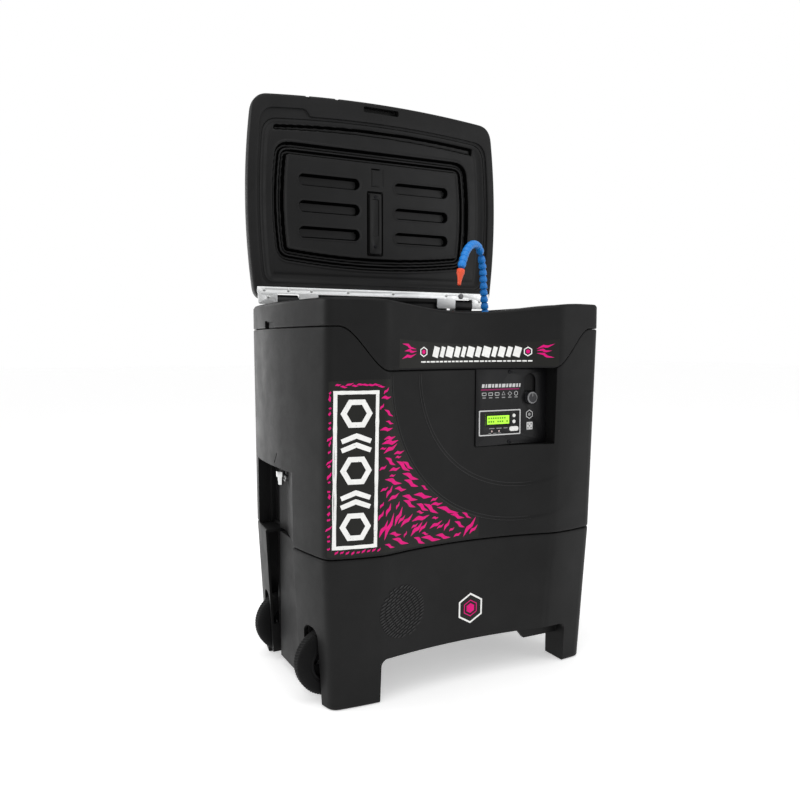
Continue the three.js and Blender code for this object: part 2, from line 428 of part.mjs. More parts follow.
// ---- control panel
{
  const P = PANEL_Y;
  let plate = prismXZ(rr(21.5, 240, 606.5, 801, 1.5, 1), P, P + 3);
  plate = cut(plate,
    prismXZ(rr(170.5, 205.5, 708, 789, 17.4, 4), P - 5, P + 8),
    prismXZ(rr(50, 126, 655, 689, 1.5, 1), P - 5, P + 8),
    cylY(5.3, 138, 681, P - 5, P + 8, 12), cylY(5.3, 138, 665.5, P - 5, P + 8, 12),
    prismXZ(rr(123.3, 152.7, 640.3, 653.7, 6.5, 3), P - 5, P + 8),
    cylY(2.9, 70, 643, P - 5, P + 8, 8), cylY(2.9, 92, 643, P - 5, P + 8, 8),
    cylY(2.8, 124, 794, P - 5, P + 8, 8), cylY(2.8, 124, 614, P - 5, P + 8, 8));
  add('control_plate', plate, 'panel');
  let bez = cut(prismXZ(rr(30, 158, 632, 697, 2, 1), P - 1.6, P - 0.3),
    prismXZ(rr(33, 155, 635, 694, 1.5, 1), P - 5, P + 5));
  add('display_frame', bez, 'white');
  add('lcd_window', prismXZ(rr(50.5, 125.5, 655.5, 688.5, 1.5, 1), P + 0.4, P + 2.4), 'lcd');
  add('button_up', join(cylY(4.7, 138, 681, P - 1.8, P + 2, 12), cylY(6.5, 138, 681, P + 3.6, P + 5, 10), cylY(3, 138, 681, P + 1, P + 4, 8)), 'button');
  add('button_down', join(cylY(4.7, 138, 665.5, P - 1.8, P + 2, 12), cylY(6.5, 138, 665.5, P + 3.6, P + 5, 10), cylY(3, 138, 665.5, P + 1, P + 4, 8)), 'button');
  add('button_start', join(prismXZ(rr(123.9, 152.1, 640.9, 653.1, 6, 3), P - 1.8, P + 2), cylY(3, 138, 647, P + 1, P + 4.6, 8), prismXZ(rr(122, 154, 639, 655, 7, 2), P + 3.6, P + 5)), 'button');
  add('status_led_1', join(cylY(2.3, 70, 643, P - 1.2, P + 6, 8)), 'led');
  add('status_led_2', join(cylY(2.3, 92, 643, P - 1.2, P + 6, 8)), 'led');
  add('panel_screw_top', join(cylY(5, 124, 794, P - 2.4, P - 0.3, 8), cylY(2.0, 124, 794, P - 1, P + 5, 6)), 'zinc');
  add('panel_screw_bottom', join(cylY(5, 124, 614, P - 2.4, P - 0.3, 8), cylY(2.0, 124, 614, P - 1, P + 5, 6)), 'zinc');
  let knob = join(cylY(16, 188, 726, P - 13, P + 2, 20), cylY(3, 188, 726, P, P + 11.5, 8));
  knob = cut(knob, box(186.6, 189.4, P - 20, P - 11.8, 728, 745));
  add('timer_knob', knob, 'knob');
  add('knob_switch', cut(box(177, 200, P + 7, P + 34, 719.5, 741), cylY(3.8, 188, 726, P + 5, P + 13, 8)), 'pcb');
  add('control_box', cut(box(44, 200.5, P + 6.5, -150, 621.5, 717), box(46, 198.5, P + 4, P + 20, 623.5, 715)), 'pcb');
}

// ---- drain coupling in the left recess, cable gland at the rear
{
  let d = lathe([[0, 497], [6.5, 497], [8.5, 516], [8.5, 518], [12, 518], [12, 532], [0, 532]], 6);
  d = cut(d, lathe([[0, 480], [4.4, 480], [4.4, 526], [0, 526]], 8));
  d = move(d, -392, 60, 0);
  add('drain_coupling', join(d, cylX(6, 60, 514, -388, -352, 10), cylX(10, 60, 514, -381.5, -377.6, 6)), 'zinc');
  const g = lathe([[0, -14], [9, -14], [9, 0.4], [15, 0.4], [15, 8], [12, 8], [12, 20], [5, 22], [0, 22]], 12);
  add('cable_gland', g.rotate([-90, 0, 0]).translate([300, 264.5, 470]), 'shell2');
}

// ---- segmented rinsing hose
const HOSE_PIVOT_Z = 950;
const HOSE_ELBOW = [51, 1131];          // along the arch direction, height
const hoseAt = (s, z) => new THREE.Vector3(HOSE_X + HOSE_U[0] * s, HOSE_Y + HOSE_U[1] * s, z);
const tube = (pts, r, steps, n = 8) => {
  const ring = [];
  for (let i = 0; i < n; i++) ring.push(new THREE.Vector2(r * Math.cos(i * 2 * Math.PI / n), r * Math.sin(i * 2 * Math.PI / n)));
  const path = new THREE.CatmullRomCurve3(pts.map((p) => hoseAt(p[0], p[1])), false, 'centripetal');
  return solid(new THREE.ExtrudeGeometry(new THREE.Shape(ring), { steps, extrudePath: path, bevelEnabled: false }));
};
const ball = (s, z, r) => { const p = hoseAt(s, z); return solid(new THREE.SphereGeometry(r, 10, 7).rotateX(Math.PI / 2).translate(p.x, p.y, p.z)); };
{
  const base = join(cylZ(15, HOSE_X, HOSE_Y, 925.3, 934, 6), cylZ(12.5, HOSE_X, HOSE_Y, 925.3, 938.4, 12), cylZ(7, HOSE_X, HOSE_Y, 897, 930, 10));
  add('hose_foot', base, 'blue');
  add('hose_lower', join(ball(0, HOSE_PIVOT_Z, HOSE_R), tube([[0, 950], [4, 966], [11, 992], [20, 1040], [28, 1083], [45.5, 1119.5]], HOSE_R, 7)), 'blue');
  add('hose_upper', join(ball(HOSE_ELBOW[0], HOSE_ELBOW[1], HOSE_R), tube([HOSE_ELBOW, [72, 1143], [102, 1147], [140, 1141], [182, 1119], [211, 1089], [224.5, 1071]], HOSE_R, 10)), 'blue');
  const a = hoseAt(226.4, 1066.5), b = hoseAt(241, 1023);
  const dir = b.clone().sub(a), len = dir.length(); dir.normalize();
  const q = new THREE.Quaternion().setFromUnitVectors(new THREE.Vector3(0, 0, 1), dir);
  const noz = new THREE.LatheGeometry([[0, 0.8], [11, 0.8], [11, 12], [9.5, 16], [4.6, len], [0, len]].map((p) => new THREE.Vector2(...p)), 12).rotateX(Math.PI / 2);
  noz.applyQuaternion(q).translate(a.x, a.y, a.z);
  add('hose_nozzle', solid(noz), 'orange');
}

// origin: bottom centre of the closed-up outline of everything in the rest pose
group.updateMatrixWorld(true);
const bb = new THREE.Box3().setFromObject(group);
group.position.set(-(bb.min.x + bb.max.x) / 2, -(bb.min.y + bb.max.y) / 2, -bb.min.z);
group.updateMatrixWorld(true);

export default group;
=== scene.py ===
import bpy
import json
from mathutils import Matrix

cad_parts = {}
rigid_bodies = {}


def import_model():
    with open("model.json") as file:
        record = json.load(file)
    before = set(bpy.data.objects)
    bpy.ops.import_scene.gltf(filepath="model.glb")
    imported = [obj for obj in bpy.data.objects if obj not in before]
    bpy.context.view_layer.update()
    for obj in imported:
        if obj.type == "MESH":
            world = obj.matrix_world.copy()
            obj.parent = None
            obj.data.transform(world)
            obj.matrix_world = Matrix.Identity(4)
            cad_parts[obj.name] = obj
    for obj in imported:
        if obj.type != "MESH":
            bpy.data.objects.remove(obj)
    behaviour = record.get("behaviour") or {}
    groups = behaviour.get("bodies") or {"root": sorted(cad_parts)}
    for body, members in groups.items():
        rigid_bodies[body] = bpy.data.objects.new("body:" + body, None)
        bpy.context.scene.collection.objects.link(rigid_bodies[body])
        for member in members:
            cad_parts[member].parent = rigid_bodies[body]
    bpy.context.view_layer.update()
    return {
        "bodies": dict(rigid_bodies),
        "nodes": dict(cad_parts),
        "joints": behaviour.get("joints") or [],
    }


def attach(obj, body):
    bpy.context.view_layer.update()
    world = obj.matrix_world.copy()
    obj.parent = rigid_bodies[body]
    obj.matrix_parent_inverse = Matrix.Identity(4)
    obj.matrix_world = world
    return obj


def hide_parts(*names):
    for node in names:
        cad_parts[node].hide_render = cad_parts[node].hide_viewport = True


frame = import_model()

import json
import math
import random

import bmesh
import bpy
import numpy as np
from mathutils import Matrix, Quaternion, Vector

random.seed(11)
scene = bpy.context.scene
rad = math.radians

# ------------------------------------------------------------------ frame of the body plan
# Lengths below are millimetres from the middle of the body plan on the floor. The lid hinge
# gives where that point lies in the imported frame.
JOINT = {j["name"]: j for j in frame["joints"]}
AXIS_Y, AXIS_Z = 276.0, 986.0
OX = JOINT["lid_hinge"]["pos_m"][0]
OY = JOINT["lid_hinge"]["pos_m"][1] - AXIS_Y / 1000


def metres(v):
    v = np.array(v, float).reshape(-1, 3) / 1000
    v[:, 0] += OX
    v[:, 1] += OY
    return v


# ------------------------------------------------------------------ camera and light
cam_data = bpy.data.cameras.new("camera")
cam = bpy.data.objects.new("camera", cam_data)
scene.collection.objects.link(cam)
cam_data.sensor_width = 36
cam_data.lens = 785.2 / 800 * 36
cam_data.clip_start, cam_data.clip_end = 0.05, 60
cam.location = (OX - 1.05052, OY - 1.89959, 0.86275)
cam.rotation_euler = (rad(90 - 4.016), rad(0.0), rad(-27.29))
scene.camera = cam
scene.view_settings.view_transform = "Standard"
scene.view_settings.look = "None"

world = bpy.data.worlds.new("studio")
scene.world = world
world.use_nodes = True
bg = world.node_tree.nodes["Background"]
bg.inputs["Color"].default_value = (1, 1, 1, 1)
bg.inputs["Strength"].default_value = 0.62
wt = world.node_tree
bg_seen = wt.nodes.new("ShaderNodeBackground")
bg_seen.inputs["Color"].default_value = (1, 1, 1, 1)
bg_seen.inputs["Strength"].default_value = 1.0
path_ = wt.nodes.new("ShaderNodeLightPath")
mix_ = wt.nodes.new("ShaderNodeMixShader")
wt.links.new(path_.outputs["Is Camera Ray"], mix_.inputs[0])
wt.links.new(bg.outputs["Background"], mix_.inputs[1])
wt.links.new(bg_seen.outputs["Background"], mix_.inputs[2])
wt.links.new(mix_.outputs["Shader"], wt.nodes["World Output"].inputs["Surface"])


def area(name, loc, target, size, power, size_y=None):
    d = bpy.data.lights.new(name, "AREA")
    d.shape = "RECTANGLE"
    d.size, d.size_y = size, size_y or size
    d.energy = power
    o = bpy.data.objects.new(name, d)
    o.location = loc
    o.rotation_euler = (Vector(target) - Vector(loc)).to_track_quat("-Z", "Y").to_euler()
    scene.collection.objects.link(o)
    return o


area("key_left", (-3.4, 1.6, 1.9), (-0.3, 0.0, 0.6), 1.8, 46, 2.4)
area("key_top", (-0.4, -1.2, 3.8), (0.0, 0.0, 0.7), 3.0, 42)
area("front_right", (2.6, -2.8, 1.7), (0.1, 0.0, 0.8), 1.4, 21, 2.2)
area("front_low", (-1.6, -3.6, 1.2), (0.0, 0.0, 0.7), 2.2, 7)
back_strip = area("back_strip", (-0.72, 2.5, 0.95), (-0.42, 0.2, 0.7), 0.7, 6.5, 1.7)
back_strip.visible_camera = False

floor_me = bpy.data.meshes.new("floor")
floor_me.from_pydata([(-30, -30, -0.0015), (30, -30, -0.0015), (30, 30, -0.0015), (-30, 30, -0.0015)], [], [(0, 1, 2, 3)])
floor = bpy.data.objects.new("floor", floor_me)
scene.collection.objects.link(floor)


# ------------------------------------------------------------------ materials
def nodes_of(name):
    m = bpy.data.materials.new(name)
    m.use_nodes = True
    nt = m.node_tree
    return m, nt, nt.nodes["Principled BSDF"]


def noise(nt, scale, detail=4, rough=0.55, distortion=0.0, stretch=None, src=None):
    tc = nt.nodes.new("ShaderNodeTexCoord")
    out = tc.outputs["Object"]
    if stretch:
        mp = nt.nodes.new("ShaderNodeMapping")
        mp.inputs["Scale"].default_value = stretch
        nt.links.new(out, mp.inputs["Vector"])
        out = mp.outputs["Vector"]
    n = nt.nodes.new("ShaderNodeTexNoise")
    n.inputs["Scale"].default_value = scale
    n.inputs["Detail"].default_value = detail
    n.inputs["Roughness"].default_value = rough
    n.inputs["Distortion"].default_value = distortion
    nt.links.new(out, n.inputs["Vector"])
    return n


def ramp(nt, src, p0, c0, p1, c1):
    r = nt.nodes.new("ShaderNodeValToRGB")
    r.color_ramp.elements[0].position = p0
    r.color_ramp.elements[0].color = (*c0, 1)
    r.color_ramp.elements[1].position = p1
    r.color_ramp.elements[1].color = (*c1, 1)
    nt.links.new(src, r.inputs["Fac"])
    return r


def maprange(nt, src, a, b, lo, hi):
    r = nt.nodes.new("ShaderNodeMapRange")
    r.inputs["From Min"].default_value = a
    r.inputs["From Max"].default_value = b
    r.inputs["To Min"].default_value = lo
    r.inputs["To Max"].default_value = hi
    nt.links.new(src, r.inputs["Value"])
    return r


def plastic(name, color, rough=0.5, grain=900, grain_depth=0.00012, vary=0.25, edge=0.0, wear=0.35, spec=0.5, coat=0.0, painted_wall_shade=0.0):
    """Moulded plastic: cloudy tone, fine grain, faint scuffs, edges softened by a small radius. With a wall shade
    amount, faces that are steep to the sheet get painted shade, a darker colour and less specular, standing in for the
    shade that falls in the grooves of a pressed sheet."""
    m, nt, b = nodes_of(name)
    c = np.array(color, float)
    cloud = noise(nt, 5.5, 5, 0.6)
    base = ramp(nt, cloud.outputs["Fac"], 0.32, tuple(c * (1 - vary)), 0.68, tuple(np.minimum(c * (1 + vary), 1)))
    scr = noise(nt, 34, 3, 0.7, 1.2, stretch=(1.0, 1.0, 7.0))
    mask = maprange(nt, scr.outputs["Fac"], 0.66, 0.76, 0.0, wear)
    mix = nt.nodes.new("ShaderNodeMix")
    mix.data_type = "RGBA"
    nt.links.new(mask.outputs["Result"], mix.inputs[0])
    nt.links.new(base.outputs["Color"], mix.inputs[6])
    mix.inputs[7].default_value = (*np.minimum(c * 1.7 + 0.006, 1), 1)
    colour = mix.outputs[2]
    # painted shade: steep wall faces get a near-black colour and lower specular in place of the shade in grooves and
    # pockets
    if painted_wall_shade:
        tc = nt.nodes.new("ShaderNodeTexCoord")
        sep = nt.nodes.new("ShaderNodeSeparateXYZ")
        nt.links.new(tc.outputs["Normal"], sep.inputs["Vector"])
        ab = nt.nodes.new("ShaderNodeMath")
        ab.operation = "ABSOLUTE"
        nt.links.new(sep.outputs["Y"], ab.inputs[0])
        painted_shade_mask = maprange(nt, ab.outputs["Value"], 0.62, 0.95, painted_wall_shade, 0.0)
        painted_shade_mix = nt.nodes.new("ShaderNodeMix")
        painted_shade_mix.data_type = "RGBA"
        nt.links.new(painted_shade_mask.outputs["Result"], painted_shade_mix.inputs[0])
        nt.links.new(colour, painted_shade_mix.inputs[6])
        # near-black colour of the painted wall shade
        painted_shade_mix.inputs[7].default_value = (0.0006, 0.0006, 0.0006, 1)
        colour = painted_shade_mix.outputs[2]
        sl = maprange(nt, ab.outputs["Value"], 0.62, 0.95, spec * (1 - painted_wall_shade), spec)
        nt.links.new(sl.outputs["Result"], b.inputs["Specular IOR Level"])
    nt.links.new(colour, b.inputs["Base Color"])
    rn = noise(nt, 14, 4, 0.65)
    rr_ = maprange(nt, rn.outputs["Fac"], 0.25, 0.75, rough - 0.07, rough + 0.08)
    nt.links.new(rr_.outputs["Result"], b.inputs["Roughness"])
    gr = noise(nt, grain, 2, 0.6)
    wav = noise(nt, 9, 2, 0.5)
    b2 = nt.nodes.new("ShaderNodeBump")
    b2.inputs["Strength"].default_value = 0.25
    b2.inputs["Distance"].default_value = 0.0012
    nt.links.new(wav.outputs["Fac"], b2.inputs["Height"])
    b1 = nt.nodes.new("ShaderNodeBump")
    b1.inputs["Strength"].default_value = 0.55
    b1.inputs["Distance"].default_value = grain_depth
    nt.links.new(gr.outputs["Fac"], b1.inputs["Height"])
    nt.links.new(b2.outputs["Normal"], b1.inputs["Normal"])
    if edge:
        bv = nt.nodes.new("ShaderNodeBevel")
        bv.samples = 4
        bv.inputs["Radius"].default_value = edge
        nt.links.new(bv.outputs["Normal"], b2.inputs["Normal"])
    nt.links.new(b1.outputs["Normal"], b.inputs["Normal"])
    if not painted_wall_shade:
        b.inputs["Specular IOR Level"].default_value = spec
    if coat:
        b.inputs["Coat Weight"].default_value = coat
        b.inputs["Coat Roughness"].default_value = 0.15
    return m


def metal(name, color, rough=0.3, stretch=(1, 30, 30), scale=40, vary=0.12):
    """Rolled or drawn metal: fine streaks along one axis, small dull spots."""
    m, nt, b = nodes_of(name)
    c = np.array(color, float)
    st = noise(nt, scale, 6, 0.7, stretch=stretch)
    base = ramp(nt, st.outputs["Fac"], 0.3, tuple(c * (1 - vary)), 0.7, tuple(np.minimum(c * (1 + vary), 1)))
    nt.links.new(base.outputs["Color"], b.inputs["Base Color"])
    b.inputs["Metallic"].default_value = 1.0
    sp = noise(nt, 120, 4, 0.6)
    r = maprange(nt, sp.outputs["Fac"], 0.3, 0.75, rough - 0.08, rough + 0.15)
    nt.links.new(r.outputs["Result"], b.inputs["Roughness"])
    bp = nt.nodes.new("ShaderNodeBump")
    bp.inputs["Strength"].default_value = 0.25
    bp.inputs["Distance"].default_value = 0.00008
    nt.links.new(st.outputs["Fac"], bp.inputs["Height"])
    nt.links.new(bp.outputs["Normal"], b.inputs["Normal"])
    return m


def printed(name, color, rough=0.4, vary=0.06, specks=0.0, dark=(0.02, 0.02, 0.02)):
    """Printed film: nearly even ink with faint mottling, and small worn specks if asked."""
    m, nt, b = nodes_of(name)
    c = np.array(color, float)
    n1 = noise(nt, 60, 4, 0.6)
    base = ramp(nt, n1.outputs["Fac"], 0.3, tuple(c * (1 - vary)), 0.7, tuple(np.minimum(c * (1 + vary), 1)))
    out = base.outputs["Color"]
    if specks:
        n2 = noise(nt, 210, 3, 0.7)
        k = maprange(nt, n2.outputs["Fac"], 0.66, 0.70, 0.0, specks)
        mix = nt.nodes.new("ShaderNodeMix")
        mix.data_type = "RGBA"
        nt.links.new(k.outputs["Result"], mix.inputs[0])
        nt.links.new(out, mix.inputs[6])
        mix.inputs[7].default_value = (*dark, 1)
        out = mix.outputs[2]
    nt.links.new(out, b.inputs["Base Color"])
    n3 = noise(nt, 22, 3, 0.6)
    r = maprange(nt, n3.outputs["Fac"], 0.3, 0.7, rough - 0.05, rough + 0.07)
    nt.links.new(r.outputs["Result"], b.inputs["Roughness"])
    bp = nt.nodes.new("ShaderNodeBump")
    bp.inputs["Strength"].default_value = 0.2
    bp.inputs["Distance"].default_value = 0.00005
    nt.links.new(n1.outputs["Fac"], bp.inputs["Height"])
    nt.links.new(bp.outputs["Normal"], b.inputs["Normal"])
    b.inputs["Specular IOR Level"].default_value = 0.18
    return m


M = {
    "body": plastic("body_plastic_look", (0.0066, 0.0066, 0.0067), 0.46, edge=0.0022, wear=0.25, spec=0.15),
    "fine": plastic("body_plastic_fine_look", (0.0066, 0.0066, 0.0067), 0.44, wear=0.25, spec=0.2),
    # lighter than the body plastic: a painted highlight for the moulded ribs and terrace edges
    "relief": plastic("body_plastic_relief_look", (0.0125, 0.0125, 0.0127), 0.42, wear=0.25, spec=0.3),
    "basin": plastic("basin_plastic_look", (0.0066, 0.0066, 0.0072), 0.42, grain=600, edge=0.002, wear=0.6, spec=0.2),
    "lid": plastic("lid_plastic_look", (0.0078, 0.0078, 0.0080), 0.46, edge=0.0016, wear=0.2, spec=0.18),
    # the liner's steep groove and pocket walls carry painted shade
    "liner": plastic("liner_plastic_look", (0.0080, 0.0080, 0.0082), 0.40, grain=1300, grain_depth=0.00007, wear=0.3, spec=0.18, painted_wall_shade=0.9),
    "panel": plastic("panel_plate_look", (0.0052, 0.0052, 0.0058), 0.38, grain=1800, grain_depth=0.00004, wear=0.1, edge=0.0006, spec=0.2),
    "gland": plastic("black_nylon_look", (0.007, 0.007, 0.0076), 0.45, edge=0.0008, spec=0.25),
    "hub": plastic("hub_plastic_look", (0.0045, 0.0045, 0.0049), 0.5, edge=0.0008, spec=0.15),
    "tyre": plastic("tyre_rubber_look", (0.0042, 0.0042, 0.0045), 0.66, grain=500, grain_depth=0.0003, vary=0.35, wear=0.7, spec=0.12),
    "knob": plastic("knob_look", (0.016, 0.016, 0.018), 0.40, grain=1500, grain_depth=0.00005, spec=0.35),
    "buffer": plastic("buffer_look", (0.19, 0.19, 0.195), 0.65, grain=1200),
    "blue": plastic("hose_blue_look", (0.014, 0.215, 0.66), 0.33, grain=1500, grain_depth=0.00004, vary=0.10, wear=0.15, spec=0.3),
    "orange": plastic("nozzle_orange_look", (0.84, 0.100, 0.040), 0.33, grain=1500, grain_depth=0.00004, vary=0.06, wear=0.15, spec=0.3),
    "key": plastic("key_look", (0.72, 0.72, 0.70), 0.4, grain=1500, grain_depth=0.00004, vary=0.03, wear=0.1),
    "pump": plastic("pump_look", (0.035, 0.038, 0.045), 0.45, edge=0.001),
    "impeller": plastic("impeller_look", (0.15, 0.15, 0.16), 0.5),
    "float": plastic("float_look", (0.72, 0.66, 0.50), 0.6, grain=500, grain_depth=0.0002),
    "cup": plastic("filter_cup_look", (0.17, 0.22, 0.27), 0.5),
    "fibre": plastic("filter_fibre_look", (0.62, 0.63, 0.60), 0.9, grain=260, grain_depth=0.002, vary=0.2, wear=0.1),
    "box": plastic("electronics_box_look", (0.016, 0.016, 0.018), 0.5, edge=0.001),
    "led": plastic("led_look", (0.62, 0.46, 0.44), 0.18, grain=2000, grain_depth=0.00002, vary=0.05, wear=0.0, coat=0.5),
    # grey for the knob's chamfer ring: a painted highlight on the dark knob
    "rim": plastic("knob_rim_look", (0.17, 0.17, 0.175), 0.32, grain=2000, grain_depth=0.00002, vary=0.05, wear=0.1),
    "steel": metal("hinge_steel_look", (0.88, 0.89, 0.89), 0.48, stretch=(1, 14, 14), scale=22, vary=0.04),
    "zinc": metal("zinc_look", (0.66, 0.665, 0.66), 0.34, stretch=(6, 6, 6), scale=60),
    "dark_zinc": metal("blackened_hardware_look", (0.020, 0.020, 0.022), 0.36, stretch=(6, 6, 6), scale=60),
    "stainless": metal("stainless_look", (0.62, 0.62, 0.61), 0.26, stretch=(12, 1, 12), scale=40),
    "film": printed("label_film_look", (0.0094, 0.0094, 0.0080), 0.36),
    "pink": printed("label_pink_look", (0.66, 0.0005, 0.175), 0.42, vary=0.08, specks=0.25),
    "white": printed("label_white_look", (0.80, 0.80, 0.78), 0.45, specks=0.8),
    "ink": printed("panel_white_ink_look", (0.52, 0.52, 0.52), 0.45),
    "ink_dim": printed("panel_grey_ink_look", (0.26, 0.26, 0.26), 0.5),
    "pink_ink": printed("panel_pink_ink_look", (0.22, 0.012, 0.085), 0.45),
    "lcd_dark": printed("lcd_marks_look", (0.10, 0.26, 0.01), 0.3),
}
m, nt, b = nodes_of("lcd_look")
n_ = noise(nt, 90, 3, 0.5)
c_ = ramp(nt, n_.outputs["Fac"], 0.2, (0.33, 0.78, 0.012), 0.8, (0.42, 0.92, 0.022))
nt.links.new(c_.outputs["Color"], b.inputs["Base Color"])
b.inputs["Roughness"].default_value = 0.16
b.inputs["Emission Color"].default_value = (0.36, 0.85, 0.015, 1)
b.inputs["Emission Strength"].default_value = 0.34
b.inputs["Coat Weight"].default_value = 0.6
M["lcd"] = m
m, nt, b = nodes_of("floor_look")
n_ = noise(nt, 3, 3, 0.5)
c_ = ramp(nt, n_.outputs["Fac"], 0.2, (0.90, 0.90, 0.90), 0.8, (0.93, 0.93, 0.93))
nt.links.new(c_.outputs["Color"], b.inputs["Base Color"])
b.inputs["Roughness"].default_value = 0.75
b.inputs["Specular IOR Level"].default_value = 0.2
b.inputs["Emission Color"].default_value = (1, 1, 1, 1)
b.inputs["Emission Strength"].default_value = 0.42
floor_me.materials.append(m)


# ------------------------------------------------------------------ mesh helpers
def raw(name, verts, faces):
    me = bpy.data.meshes.new(name)
    me.from_pydata(metres(verts).tolist(), [], [tuple(int(i) for i in f) for f in faces])
    me.update()
    bm = bmesh.new()
    bm.from_mesh(me)
    bmesh.ops.remove_doubles(bm, verts=bm.verts, dist=1e-6)
    bmesh.ops.dissolve_degenerate(bm, dist=1e-7, edges=bm.edges)
    bmesh.ops.recalc_face_normals(bm, faces=bm.faces)
    bm.to_mesh(me)
    bm.free()
    o = bpy.data.objects.new(name, me)
    scene.collection.objects.link(o)
    return o


def baked(o):
    """Applies the modifiers."""
    dg = bpy.context.evaluated_depsgraph_get()
    me = bpy.data.meshes.new_from_object(o.evaluated_get(dg))
    old = o.data
    o.modifiers.clear()
    o.data = me
    me.name = o.name
    bpy.data.meshes.remove(old)
    return o


def csg(a, b, op="DIFFERENCE", keep=False):
    md = a.modifiers.new("b", "BOOLEAN")
    md.operation, md.object, md.solver = op, b, "MANIFOLD"
    n0 = len(a.data.polygons)
    dg = bpy.context.evaluated_depsgraph_get()
    me = bpy.data.meshes.new_from_object(a.evaluated_get(dg))
    if len(me.polygons) < 4:
        print("boolean gave nothing:", a.name, b.name, n0)
        md.solver = "EXACT"
        dg = bpy.context.evaluated_depsgraph_get()
        me = bpy.data.meshes.new_from_object(a.evaluated_get(dg))
    a.modifiers.clear()
    old = a.data
    a.data = me
    bpy.data.meshes.remove(old)
    if not keep:
        bme = b.data
        bpy.data.objects.remove(b)
        bpy.data.meshes.remove(bme)
    return a


def cut(a, *bs):
    for b in bs:
        csg(a, b)
    return a


def join(a, *bs):
    for b in bs:
        csg(a, b, "UNION")
    return a


def loft(rings, cap0=True, cap1=True, cyclic=False):
    R, N = len(rings), len(rings[0])
    V = np.concatenate([np.asarray(r, float) for r in rings])
    F = []
    for i in range(R if cyclic else R - 1):
        a, b = i * N, ((i + 1) % R) * N
        for j in range(N):
            k = (j + 1) % N
            F.append((a + j, a + k, b + k, b + j))
    if not cyclic:
        if cap0:
            F.append(tuple(range(N - 1, -1, -1)))
        if cap1:
            F.append(tuple((R - 1) * N + j for j in range(N)))
    return V, F


def prism(pts, axis, a, b):
    P = np.array(pts, float)

    def at(v):
        c = np.full(len(P), float(v))
        return np.stack({"z": (P[:, 0], P[:, 1], c), "y": (P[:, 0], c, P[:, 1]), "x": (c, P[:, 0], P[:, 1])}[axis], 1)
    return raw("tool", *loft([at(a), at(b)]))


def box(x0, x1, y0, y1, z0, z1):
    return prism([(x0, y0), (x1, y0), (x1, y1), (x0, y1)], "z", z0, z1)


def rr(x0, x1, y0, y1, r, n=6):
    out = []
    for cx, cy, a0 in [(x1 - r, y0 + r, -90), (x1 - r, y1 - r, 0), (x0 + r, y1 - r, 90), (x0 + r, y0 + r, 180)]:
        for i in range(n + 1):
            a = rad(a0 + 90 * i / n)
            out.append((cx + r * math.cos(a), cy + r * math.sin(a)))
    return out


def turned(profile, n=48, closed=False):
    """Lathe about Z from [radius, z] pairs, as vertices and faces about the origin."""
    rings = []
    for r, z in profile:
        rings.append(np.stack([max(r, 1e-3) * np.cos(np.arange(n) * 2 * math.pi / n), max(r, 1e-3) * np.sin(np.arange(n) * 2 * math.pi / n), np.full(n, float(z))], 1))
    return loft(rings, cyclic=closed)


def turn_to(V, axis, at):
    V = np.asarray(V, float)
    if axis == "y":
        V = np.stack([V[:, 0], -V[:, 2], V[:, 1]], 1)      # local +z to -y
    elif axis == "x":
        V = np.stack([V[:, 2], V[:, 1], -V[:, 0]], 1)
    elif not isinstance(axis, str):
        q = Vector((0, 0, 1)).rotation_difference(Vector(axis))
        V = V @ np.array(q.to_matrix()).T
    return V + np.array(at, float)


def lathe(profile, axis="z", at=(0, 0, 0), n=48, closed=False):
    V, F = turned(profile, n, closed)
    return raw("tool", turn_to(V, axis, at), F)


def bevelled(o, width, segments=3, angle=32):
    bm = bmesh.new()
    bm.from_mesh(o.data)
    bmesh.ops.remove_doubles(bm, verts=bm.verts, dist=2e-6)
    bmesh.ops.dissolve_limit(bm, angle_limit=rad(0.6), verts=bm.verts, edges=bm.edges)
    bm.to_mesh(o.data)
    bm.free()
    md = o.modifiers.new("bevel", "BEVEL")
    md.width, md.segments, md.limit_method, md.angle_limit = width / 1000, segments, "ANGLE", rad(angle)
    md.use_clamp_overlap = True
    return baked(o)


def finish_piece(o, name, body, mat, replaces=(), angle=32):
    o.name = name
    o.data.name = name
    o.data.materials.clear()
    o.data.materials.append(M[mat])
    o.data.shade_smooth()
    o.data.set_sharp_from_angle(angle=rad(angle))
    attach(o, body)
    if replaces:
        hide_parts(*replaces)
    return o


def refine(node, mat, width=0.6, segments=2, angle=32, smooth=34):
    """A CAD node's own shape with its edges rounded."""
    src = frame["nodes"][node]
    me = src.data.copy()
    o = bpy.data.objects.new(node + "_piece", me)
    scene.collection.objects.link(o)
    bm = bmesh.new()
    bm.from_mesh(me)
    bmesh.ops.remove_doubles(bm, verts=bm.verts, dist=2e-6)
    bmesh.ops.dissolve_limit(bm, angle_limit=rad(0.6), verts=bm.verts, edges=bm.edges)
    bmesh.ops.recalc_face_normals(bm, faces=bm.faces)
    bm.to_mesh(me)
    bm.free()
    if width:
        md = o.modifiers.new("bevel", "BEVEL")
        md.width, md.segments, md.limit_method, md.angle_limit = width / 1000, segments, "ANGLE", rad(angle)
        baked(o)
    body = next(k for k, e in frame["bodies"].items() if src.parent is e)
    return finish_piece(o, node + "_piece", body, mat, [node], smooth)


def smooth(a, b, v):
    t = np.clip((np.asarray(v, float) - a) / (b - a), 0, 1)
    return t * t * (3 - 2 * t)


def lerp(a, b, t):
    return a + (b - a) * t


